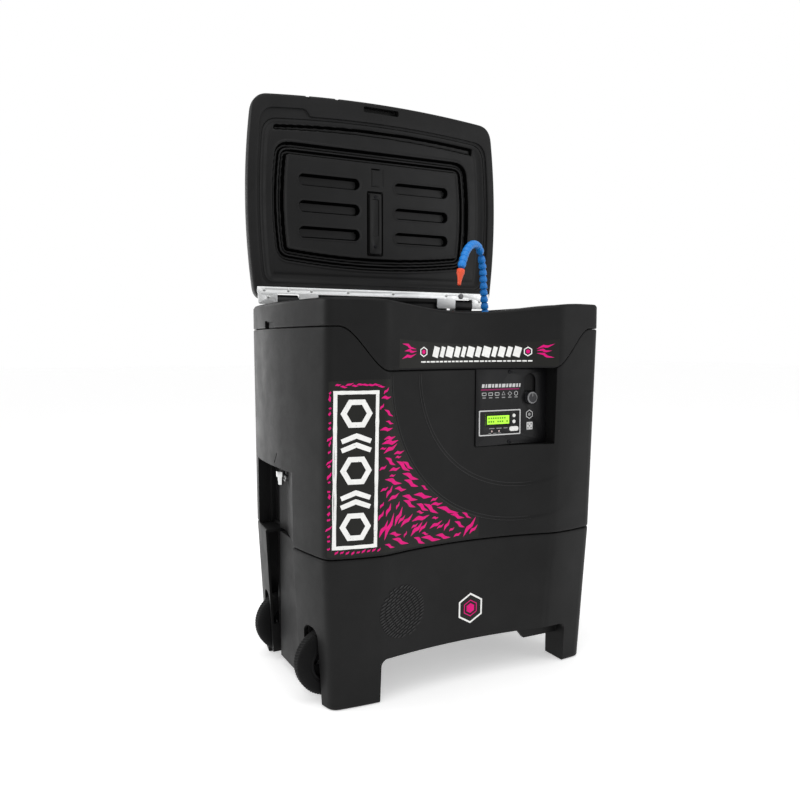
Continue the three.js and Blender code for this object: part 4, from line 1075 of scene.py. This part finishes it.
for i, x in ((1, 70), (2, 92)):
    o = lathe([(0.01, 1.35), (1.0, 1.25), (1.8, 0.9), (2.25, 0.2), (2.3, -6), (0.01, -6)], "y", (x, P_Y, 643), 28)
    finish_piece(o, f"lamp_{i}", "washer", "led", [f"status_led_{i}"], 40)

n = 120
th = np.arange(n) * 2 * math.pi / n
rows = []
for r, h, k in ((0.01, 12.9, 0), (12.5, 12.9, 0), (14.2, 12.5, 0.2), (15.0, 11.4, 0.8), (15.4, 8.0, 1), (15.8, 2.0, 1), (16.0, 0.6, 0.3), (16.0, -1.9, 0), (3, -1.9, 0), (3, -11.4, 0), (0.01, -11.4, 0)):
    rib = smooth(0.1, 0.75, 0.5 + 0.5 * np.cos(24 * th))
    rq = max(r, 0.01) - 0.75 * k * (1 - rib)
    rows.append(np.stack([rq * np.cos(th), rq * np.sin(th), np.full(n, float(h))], 1))
V, F = loft(rows)
knob = raw("knob", turn_to(V, "y", (188, P_Y, 726)), F)
cut(knob, prism(rr(187.0, 189.0, 729, 740.5, 0.9, 4), "y", P_Y - 20, P_Y - 11.9))
finish_piece(knob, "front_knob", "timer", "knob", ["timer_knob"], 38)
o = prism(rr(187.15, 188.85, 729.2, 740.3, 0.8, 4), "y", P_Y - 12.75, P_Y - 11.95)
finish_piece(o, "front_knob_mark", "timer", "ink_dim", (), 30)
# thin grey ring laid over the knob's chamfer: a painted highlight
o = lathe([(12.2, 12.8), (12.2, 13.15), (13.6, 13.0), (14.9, 12.1), (15.45, 10.9), (15.2, 10.8), (14.6, 11.7), (13.4, 12.5)], "y", (188, P_Y, 726), 72, closed=True)
finish_piece(o, "front_knob_rim", "timer", "rim", (), 40)
refine("knob_switch", "box", 0.6)
refine("control_box", "box", 0.8)

# marks printed on the plate: bars, plain icons, a hexagon and a square
PF = P_Y - 0.12


def flat(pts, t=0.1, y=None):
    P = [(x, PF if y is None else y, z) for x, z in pts]
    return (P, [tuple(range(len(P)))])


def outline_pts(pts, w):
    P = np.array(pts, float)
    Nn = normals(P)
    return P, P + Nn * w


def frame_of(pts, w, y=None):
    """A closed line of width w inside a counter-clockwise polygon."""
    A, B = outline_pts(pts, w)
    V = [(x, PF if y is None else y, z) for x, z in np.concatenate([A, B])]
    N_ = len(A)
    return (V, [(i, (i + 1) % N_, N_ + (i + 1) % N_, N_ + i) for i in range(N_)])


def regular(cx, cz, r, n=6, a0=90):
    return [(cx + r * math.cos(rad(a0 + 360 * i / n)), cz + r * math.sin(rad(a0 + 360 * i / n))) for i in range(n)]


white, grey, pink_ = [], [], []
x = 37
for w in (8, 5, 10, 6, 9, 7, 11, 6, 8, 9, 6, 5):
    white.append(flat([(x + 1.6, 754.5), (x + w + 1.2, 754.5), (x + w + 2.4, 763.5), (x + 2.8, 763.5)]))
    x += w + 2.6
pink_.append(flat([(36, 747.5), (155, 748.5), (153, 751.5), (37, 751)]))
for i in range(6):
    cx = 46 + i * 19.6
    white.append(frame_of(rr(cx - 6.5, cx + 6.5, 734, 742, 1.2, 2) if i < 3 else regular(cx, 738, 6.2, (3, 4, 6)[i - 3]), 1.3))
    grey.append(flat([(cx - 5, 727.5), (cx + 5, 727.5), (cx + 5, 730), (cx - 5, 730)]))
for x0, x1 in ((62, 78), (84, 100), (106, 118)):
    grey.append(flat([(x0, 649), (x1, 649), (x1, 651), (x0, 651)]))
for x0, x1 in ((60, 68), (74, 84), (88, 98)):
    grey.append(flat([(x0, 636.6), (x1, 636.6), (x1, 638.4), (x0, 638.4)]))
white.append(frame_of(regular(187, 682, 12, 6, 90), 2.0))
grey.append(flat(regular(187, 682, 4.5, 6, 90)))
white.append(flat(rr(178.5, 197.5, 642, 662, 1.5, 3)))
grey_sq = [flat(rr(181.5 + 5 * i, 184.5 + 5 * i, 645 + 5 * j, 648 + 5 * j, 0.4, 1), y=PF - 0.12) for i in range(3) for j in range(3) if (i + j) % 2 == 0]
finish_piece(thick(raw("w", *merged(white)), 0.1), "front_marks_white", "washer", "ink", (), 30)
finish_piece(thick(raw("g", *merged(grey)), 0.1), "front_marks_grey", "washer", "ink_dim", (), 30)
finish_piece(thick(raw("p", *merged(pink_)), 0.1), "front_marks_pink", "washer", "pink_ink", (), 30)
finish_piece(thick(raw("q", *merged(grey_sq)), 0.1), "front_marks_square", "washer", "panel", (), 30)


# ------------------------------------------------------------------ printed films on the body
def on_front(off):
    return lambda x, z: surf_y(x, z) - off


def on_apron(off):
    return lambda x, z: surf_y(x, z, False) - off


def ring_y(x, z):
    return surf_y(x, z, False)


def strip(line, widths, off, yfun=None, n=10):
    """A flat stroke along a line in XZ with a width at each point, laid on the front surface."""
    L = np.array(line, float)
    s = np.concatenate([[0], np.cumsum(np.linalg.norm(np.diff(L, axis=0), axis=1))])
    t = np.linspace(0, s[-1], n)
    cx, cz = np.interp(t, s, L[:, 0]), np.interp(t, s, L[:, 1])
    w = np.interp(t, s, widths)
    dx, dz = np.gradient(cx), np.gradient(cz)
    l = np.hypot(dx, dz)
    nx_, nz_ = -dz / l, dx / l
    a = np.stack([cx + nx_ * w / 2, cz + nz_ * w / 2], 1)
    b_ = np.stack([cx - nx_ * w / 2, cz - nz_ * w / 2], 1)
    P = np.concatenate([a, b_])
    y = (yfun or surf_y)(P[:, 0], P[:, 1]) - off
    V = np.stack([P[:, 0], y, P[:, 1]], 1)
    return V, [(i, i + 1, n + i + 1, n + i) for i in range(n - 1)]


# tall film: square left side, right side follows the outer terrace
lab = [(-385, 374.5), (-120, 374.5), (33, 374.5), (34, 430)]
for a in np.linspace(math.atan2(430 - ARC_Z, 34 - ARC_X), math.atan2(781 - ARC_Z, -237 - ARC_X), 60)[1:]:
    lab.append((ARC_X + 389.5 * math.cos(a), ARC_Z + 389.5 * math.sin(a)))
lab += [(-237.5, 784), (-300, 784), (-385, 780)]
LAB = np.array(lab)
V, F = patch(LAB, 4.0, on_front(0.25))
finish_piece(thick(raw("film", V, F), 0.2), "front_film", "washer", "film", (), 40)

strokes = []
rng = random.Random(5)
tries = 0
placed = []
FRM = (-374, -272, 392, 757)


def seg_clear(cx, cz, L, a, gap):
    for (ox, oz, oL, oa) in placed:
        for s in (-0.5, -0.25, 0, 0.25, 0.5):
            px, pz = cx + L * s * math.cos(a), cz + L * s * math.sin(a)
            for u in (-0.5, -0.25, 0, 0.25, 0.5):
                qx, qz = ox + oL * u * math.cos(oa), oz + oL * u * math.sin(oa)
                if (px - qx) ** 2 + (pz - qz) ** 2 < gap * gap:
                    return False
    return True


for k in range(22):                         # small ticks left of the frame
    placed.append((-382.2 + rng.uniform(-0.5, 0.5), 392 + k * 17.4 + rng.uniform(-4, 4), rng.choice([5, 8, 13, 18]) + rng.uniform(0, 3), rng.choice([0.9, 1.2, 1.45, 1.7])))
for k in range(9):                          # above and below the frame
    placed.append((-366 + k * 12.6, 770.5 + rng.uniform(-3, 3), rng.uniform(12, 22), rng.uniform(-0.2, 0.35)))
    placed.append((-366 + k * 12.6, 383.6 + rng.uniform(-2, 2), rng.uniform(9, 14), rng.uniform(0.3, 1.0)))
for k, (cx, cz, L, a) in enumerate(placed):
    W_ = rng.uniform(2.8, 5.4) if k < 22 else 4.8
    c, s = math.cos(a), math.sin(a)
    pts = [(-0.5, 0), (-0.12, 0.9), (0.1, -0.9), (0.5, 0)]
    strokes.append(strip([(cx + u * L * c - v * s, cz + u * L * s + v * c) for u, v in pts], [0.4, W_, W_ * 0.85, 0.4], 0.5, n=7))
while tries < 7000 and len(placed) < 250:
    tries += 1
    cx, cz = rng.uniform(-266, 32), rng.uniform(378, 781)
    near_frame = False
    L = rng.uniform(30, 70) if tries < 3500 else rng.uniform(16, 34)
    a = rng.choice([0.15, 0.45, 0.75, 1.05, -0.25, -0.5]) + rng.uniform(-0.14, 0.14)
    if near_frame:
        a = rng.choice([1.2, 1.4, 0.2, 1.0]) + rng.uniform(-0.2, 0.2)
    ends = np.array([(cx + s * L * math.cos(a), cz + s * L * math.sin(a)) for s in (-0.5, -0.25, 0, 0.25, 0.5)])
    d, _, _ = sdf(ends[:, 0], ends[:, 1], LAB)
    if d.max() > -3:
        continue
    if ((ends[:, 0] > FRM[0] - 3) & (ends[:, 0] < FRM[1] + 4) & (ends[:, 1] > FRM[2] - 5) & (ends[:, 1] < FRM[3] + 5)).any():
        continue
    if not seg_clear(cx, cz, L, a, 8.2):
        continue
    placed.append((cx, cz, L, a))
    W_ = min(L * rng.uniform(0.15, 0.2) + 2.0, 10.5)
    c, s = math.cos(a), math.sin(a)
    k = W_ * 0.28
    pts = [(-0.5, 0), (-0.12, k), (0.1, -k), (0.5, 0)]
    line = [(cx + u * L * c - v * s, cz + u * L * s + v * c) for u, v in pts]
    strokes.append(strip(line, [0.3, W_, W_ * 0.85, 0.3], 0.5, n=11))
finish_piece(thick(raw("strokes", *merged(strokes)), 0.18), "front_film_strokes", "washer", "pink", (), 40)

# white frame with plain hexagons and slanted bars
parts = []
fx0, fx1, fz0, fz1 = -371.5, -274.5, 396, 755


def jag(v):
    return v + rng.uniform(-0.7, 0.7)


corners = [(fx0, fz0), (fx1, fz0), (fx1, fz1), (fx0, fz1)]
for k in range(4):
    a, b_ = np.array(corners[k], float), np.array(corners[(k + 1) % 4], float)
    n_ = 26 if k % 2 else 12
    u = (b_ - a) / np.linalg.norm(b_ - a)
    a, b_ = a - u * 4.2, b_ + u * 4.2
    line = [tuple(lerp(a, b_, t)) for t in np.linspace(0, 1, n_)]
    parts.append(strip(line, [8.4 + rng.uniform(-1.0, 1.0) for _ in line], 0.55, n=n_ * 2))


def hexring(cx, cz, r0, r1, off=0.55, n=6, a0=0, yfun=None):
    A = [tuple(lerp(np.array(regular(cx, cz, r0, n, a0)[i]), np.array(regular(cx, cz, r0, n, a0)[(i + 1) % n]), t)) for i in range(n) for t in (0, 0.25, 0.5, 0.75)]
    B = [tuple(lerp(np.array(regular(cx, cz, r1, n, a0)[i]), np.array(regular(cx, cz, r1, n, a0)[(i + 1) % n]), t)) for i in range(n) for t in (0, 0.25, 0.5, 0.75)]
    P = np.array(A + B)
    N_ = len(A)
    V = np.stack([P[:, 0], (yfun or surf_y)(P[:, 0], P[:, 1]) - off, P[:, 1]], 1)
    return V, [(i, (i + 1) % N_, N_ + (i + 1) % N_, N_ + i) for i in range(N_)]


cxm = (fx0 + fx1) / 2
for cz in (444, 575.5, 707):
    parts.append(hexring(cxm, cz, 37, 23))
for cz in (509.5, 641.5):
    for k in (-1, 1):
        zc = cz + k * 10.5
        parts.append(strip([(cxm - 34, zc - 9), (cxm, zc + 4), (cxm + 34, zc - 9)], [11, 12, 11], 0.55, n=15))
finish_piece(thick(raw("fr", *merged(parts)), 0.18), "front_film_frame", "washer", "white", (), 40)

# apron film
ban = [(x, 808.5) for x in np.linspace(-215, 243, 20)] + [(x, 877 - 12 * (1 - ((x - 14) / 229) ** 2)) for x in np.linspace(243, -215, 40)]
V, F = patch(ban, 4.0, on_apron(0.25))
finish_piece(thick(raw("ban", V, F), 0.2), "apron_film", "washer", "film", (), 40)
wp, pp = [], []
x = -112
for w in (17, 12, 20, 15, 11, 19, 14, 22, 12, 17, 13, 19):
    h0, h1 = 833, 858
    sl = 7
    wp.append(strip([(x + w / 2, h0), (x + w / 2 + sl, h1)], [w, w], 0.5, ring_y, n=5))
    x += w + 5.6
xx = -146
while xx < 176:
    w = rng.uniform(6, 15)
    wp.append(strip([(xx, 822), (xx + w, 822)], [3.6, 3.6], 0.5, ring_y, n=3))
    xx += w + 3.0
for cx in (-138, 163):
    wp.append(hexring(cx, 846, 12.5, 9.6, 0.5, 6, 90, ring_y))
    pp.append(hexring(cx, 846, 5.6, 0.4, 0.5, 6, 90, ring_y))
for sgn, cx in ((-1, -160), (1, 186)):
    for dz, L, da in ((13, 46, -0.28), (2, 38, 0.0), (-10, 46, 0.25)):
        x0 = cx + (-L if sgn < 0 else 0)
        a = da if sgn < 0 else -da
        c, s = math.cos(a), math.sin(a)
        pts = [(0, 0), (L * 0.42, 2.6), (L * 0.55, -2.2), (L, 0)]
        line = [(x0 + u * c - v * s, 846 + dz + (u - L / 2) * s + v * c) for u, v in pts]
        pp.append(strip(line, [0.4, 7, 6, 0.4], 0.5, ring_y, n=9))
finish_piece(thick(raw("bw", *merged(wp)), 0.15), "apron_film_white", "washer", "white", (), 40)
finish_piece(thick(raw("bp", *merged(pp)), 0.15), "apron_film_pink", "washer", "pink", (), 40)

# small hexagon on the base
hx = np.array([p for p in regular(13, 190, 39, 6, 90)])
V, F = patch([tuple(lerp(hx[i], hx[(i + 1) % 6], t)) for i in range(6) for t in (0, 0.5)], 3.0, on_front(0.25))
finish_piece(thick(raw("hx", V, F), 0.2), "base_film", "washer", "film", (), 40)
finish_piece(thick(raw("hw", *hexring(13, 190, 40, 35, 0.5, 6, 90)), 0.15), "base_film_line", "washer", "white", (), 40)
finish_piece(thick(raw("hp", *merged([hexring(13, 190, 13, 0.4, 0.5, 6, 90), hexring(13, 190, 22, 19.5, 0.5, 6, 90)])), 0.15), "base_film_mark", "washer", "pink", (), 40)

# ribbed disc moulded in the base; its ribs are lighter than the body, a painted highlight where light catches them
parts = []
for k in range(-9, 10):
    q = k * 7.2
    half = math.sqrt(max(66 ** 2 - q * q, 0))
    if half < 8:
        continue
    a = rad(28)
    c, s = math.cos(a), math.sin(a)
    nseg = max(2, int(half * 2 / 15))
    for j in range(nseg):
        u0, u1 = -half + 2 * half * j / nseg + 1.4, -half + 2 * half * (j + 1) / nseg - 1.4
        line = [(-192 + u * c - q * s, 219 + u * s + q * c) for u in (u0, (u0 + u1) / 2, u1)]
        parts.append(strip(line, [2.2, 4.2, 2.2], 1.5, n=5))
disc = thick(raw("disc", *merged(parts)), 1.6)
finish_piece(disc, "base_ribbed_disc", "washer", "relief", (), 40)

# edges of the round terraces in the tank's front: real raised beads, lighter than the body as a painted highlight on
# the steps
parts = []
for R_ in (ARC_1 + 3.2, ARC_1 - 4.2, ARC_2 + 3.6, ARC_2 - 4.4):
    line = []
    for a in np.linspace(rad(178), rad(278), 90):
        x, z = ARC_X + R_ * math.cos(a), ARC_Z + R_ * math.sin(a)
        if x < 186 and z > 380 and z < float(seam_z(x)) - 5 and x > -380:
            line.append((x, z))
    w = [1.5] * (len(line) - 8) + list(np.linspace(1.5, 0.5, 8))
    parts.append(strip(line, w, 0.6, n=len(line) * 2))
finish_piece(thick(raw("arc", *merged(parts)), 0.7), "terrace_edges", "washer", "relief", (), 40)

# ------------------------------------------------------------------ drain coupling, gland
refine("drain_coupling", "zinc", 0.6, 2)
refine("cable_gland", "gland", 0.8, 2)

# ------------------------------------------------------------------ segmented hose
HX, HY, HU = 252.0, 72.0, (-0.771, -0.637)


def hose_path(pts, n):
    """Smooth path through (along, height) points, as evenly spaced 3D points."""
    P = np.array([(HX + HU[0] * s, HY + HU[1] * s, z) for s, z in pts])
    E = np.concatenate([[2 * P[0] - P[1]], P, [2 * P[-1] - P[-2]]])
    out = []
    for i in range(1, len(E) - 2):
        p0, p1, p2, p3 = E[i - 1], E[i], E[i + 1], E[i + 2]
        for t in np.linspace(0, 1, 24, endpoint=False):
            out.append(0.5 * ((2 * p1) + (-p0 + p2) * t + (2 * p0 - 5 * p1 + 4 * p2 - p3) * t * t + (-p0 + 3 * p1 - 3 * p2 + p3) * t ** 3))
    out.append(E[-2])
    out = np.array(out)
    s = np.concatenate([[0], np.cumsum(np.linalg.norm(np.diff(out, axis=0), axis=1))])
    t = np.linspace(0, s[-1], n)
    return np.stack([np.interp(t, s, out[:, k]) for k in range(3)], 1), s[-1]


BEAD = [(0.00, 8.0), (0.06, 8.0), (0.09, 10.2), (0.14, 11.0), (0.22, 11.25), (0.46, 11.25), (0.56, 10.9), (0.70, 10.2), (0.80, 9.6), (0.86, 9.4), (0.90, 8.2), (0.96, 8.0)]


def beads(pts, count, cap_ball0=True):
    P, L = hose_path(pts, 400)
    s_all = np.linspace(0, L, 400)
    T = np.gradient(P, axis=0)
    T /= np.linalg.norm(T, axis=1)[:, None]
    side = np.cross(np.array([HU[0], HU[1], 0]), np.array([0, 0, 1.0]))
    side /= np.linalg.norm(side)
    n = 36
    th = np.arange(n) * 2 * math.pi / n
    rings_ = []
    pitch = L / count

    def ring_(s, r):
        s = min(max(s, 0), L)
        p = np.array([np.interp(s, s_all, P[:, k]) for k in range(3)])
        t = np.array([np.interp(s, s_all, T[:, k]) for k in range(3)])
        t /= np.linalg.norm(t)
        v = np.cross(t, side)
        return p + r * (np.cos(th)[:, None] * side + np.sin(th)[:, None] * v)
    for i in range(count):
        for u, r in BEAD:
            rings_.append(ring_((i + u) * pitch, r))
    rings_.append(ring_(L, 7.9))
    return loft(rings_)


o = raw("hl", *beads([[0, 950], [4, 966], [11, 992], [20, 1040], [28, 1083], [45.5, 1119.5]], 9))
finish_piece(o, "hose_arm_beads", "hose_arm", "blue", ["hose_lower"], 38)
o = raw("hu", *beads([[51, 1131], [72, 1143], [102, 1147], [140, 1141], [182, 1119], [211, 1089], [224.5, 1071]], 11))
joint_ball = lathe([(0.01, -9.5)] + [(9.5 * math.cos(a), 9.5 * math.sin(a)) for a in np.linspace(-1.4, 1.4, 13)] + [(0.01, 9.5)], "z", (HX + HU[0] * 51, HY + HU[1] * 51, 1131), 32)
join(o, joint_ball)
finish_piece(o, "hose_arch_beads", "hose_arch", "blue", ["hose_upper"], 38)
foot_rows = [np.array([(HX + r * math.cos(a), HY + r * math.sin(a), z) for a in np.arange(48) * 2 * math.pi / 48]) for r, z in ((7, 897), (7, 925.3), (13.5, 925.3), (13.8, 926.2))]
hexr = []
for k, z in ((0.94, 926.2), (1.0, 927.6), (1.0, 933), (0.94, 934.4)):
    ring_ = []
    for a in np.arange(48) * 2 * math.pi / 48:
        am = (a + math.pi / 6) % (math.pi / 3) - math.pi / 6
        ring_.append((HX + k * 13.2 / math.cos(am) * math.cos(a), HY + k * 13.2 / math.cos(am) * math.sin(a), z))
    hexr.append(np.array(ring_))
foot_rows += hexr
foot_rows += [np.array([(HX + r * math.cos(a), HY + r * math.sin(a), z) for a in np.arange(48) * 2 * math.pi / 48]) for r, z in ((11.8, 934.6), (12.2, 935.4), (12.2, 937.2), (11.4, 938.3), (9, 938.4))]
finish_piece(raw("hf", *loft(foot_rows)), "hose_foot_nut", "washer", "blue", ["hose_foot"], 30)
a_ = np.array([HX + HU[0] * 226.4, HY + HU[1] * 226.4, 1066.5])
b_ = np.array([HX + HU[0] * 241, HY + HU[1] * 241, 1023.0])
ln = float(np.linalg.norm(b_ - a_))
d_ = (b_ - a_) / ln
noz = lathe([(0.01, 0.8), (8.6, 0.8), (10.3, 1.2), (11, 2.4), (11, 6.5), (10.6, 7.0), (10.6, 8.0), (11, 8.5), (11, 11.2), (10.4, 13.2), (9.2, 16.4), (7.2, 24), (5.4, 34), (4.7, ln - 1.0), (4.3, ln - 0.1), (3.0, ln - 0.1), (2.8, ln - 1), (2.6, ln - 14), (0.01, ln - 14)],
            tuple(d_), tuple(a_), 48)
finish_piece(noz, "hose_tip", "nozzle", "orange", ["hose_nozzle"], 38)

# ------------------------------------------------------------------ inside
refine("drain_strainer", "stainless", 0.4)
refine("filter_cup", "cup", 0.8)
refine("filter_pad", "fibre", 2.0, 3)
refine("pump_housing", "pump", 1.2)
refine("pump_impeller", "impeller", 0.4)
refine("supply_pipe", "blue", 0.0, smooth=60)
refine("heater_element", "stainless", 0.3, smooth=70)
refine("level_rod", "stainless", 0.4)
refine("level_float", "float", 1.2)
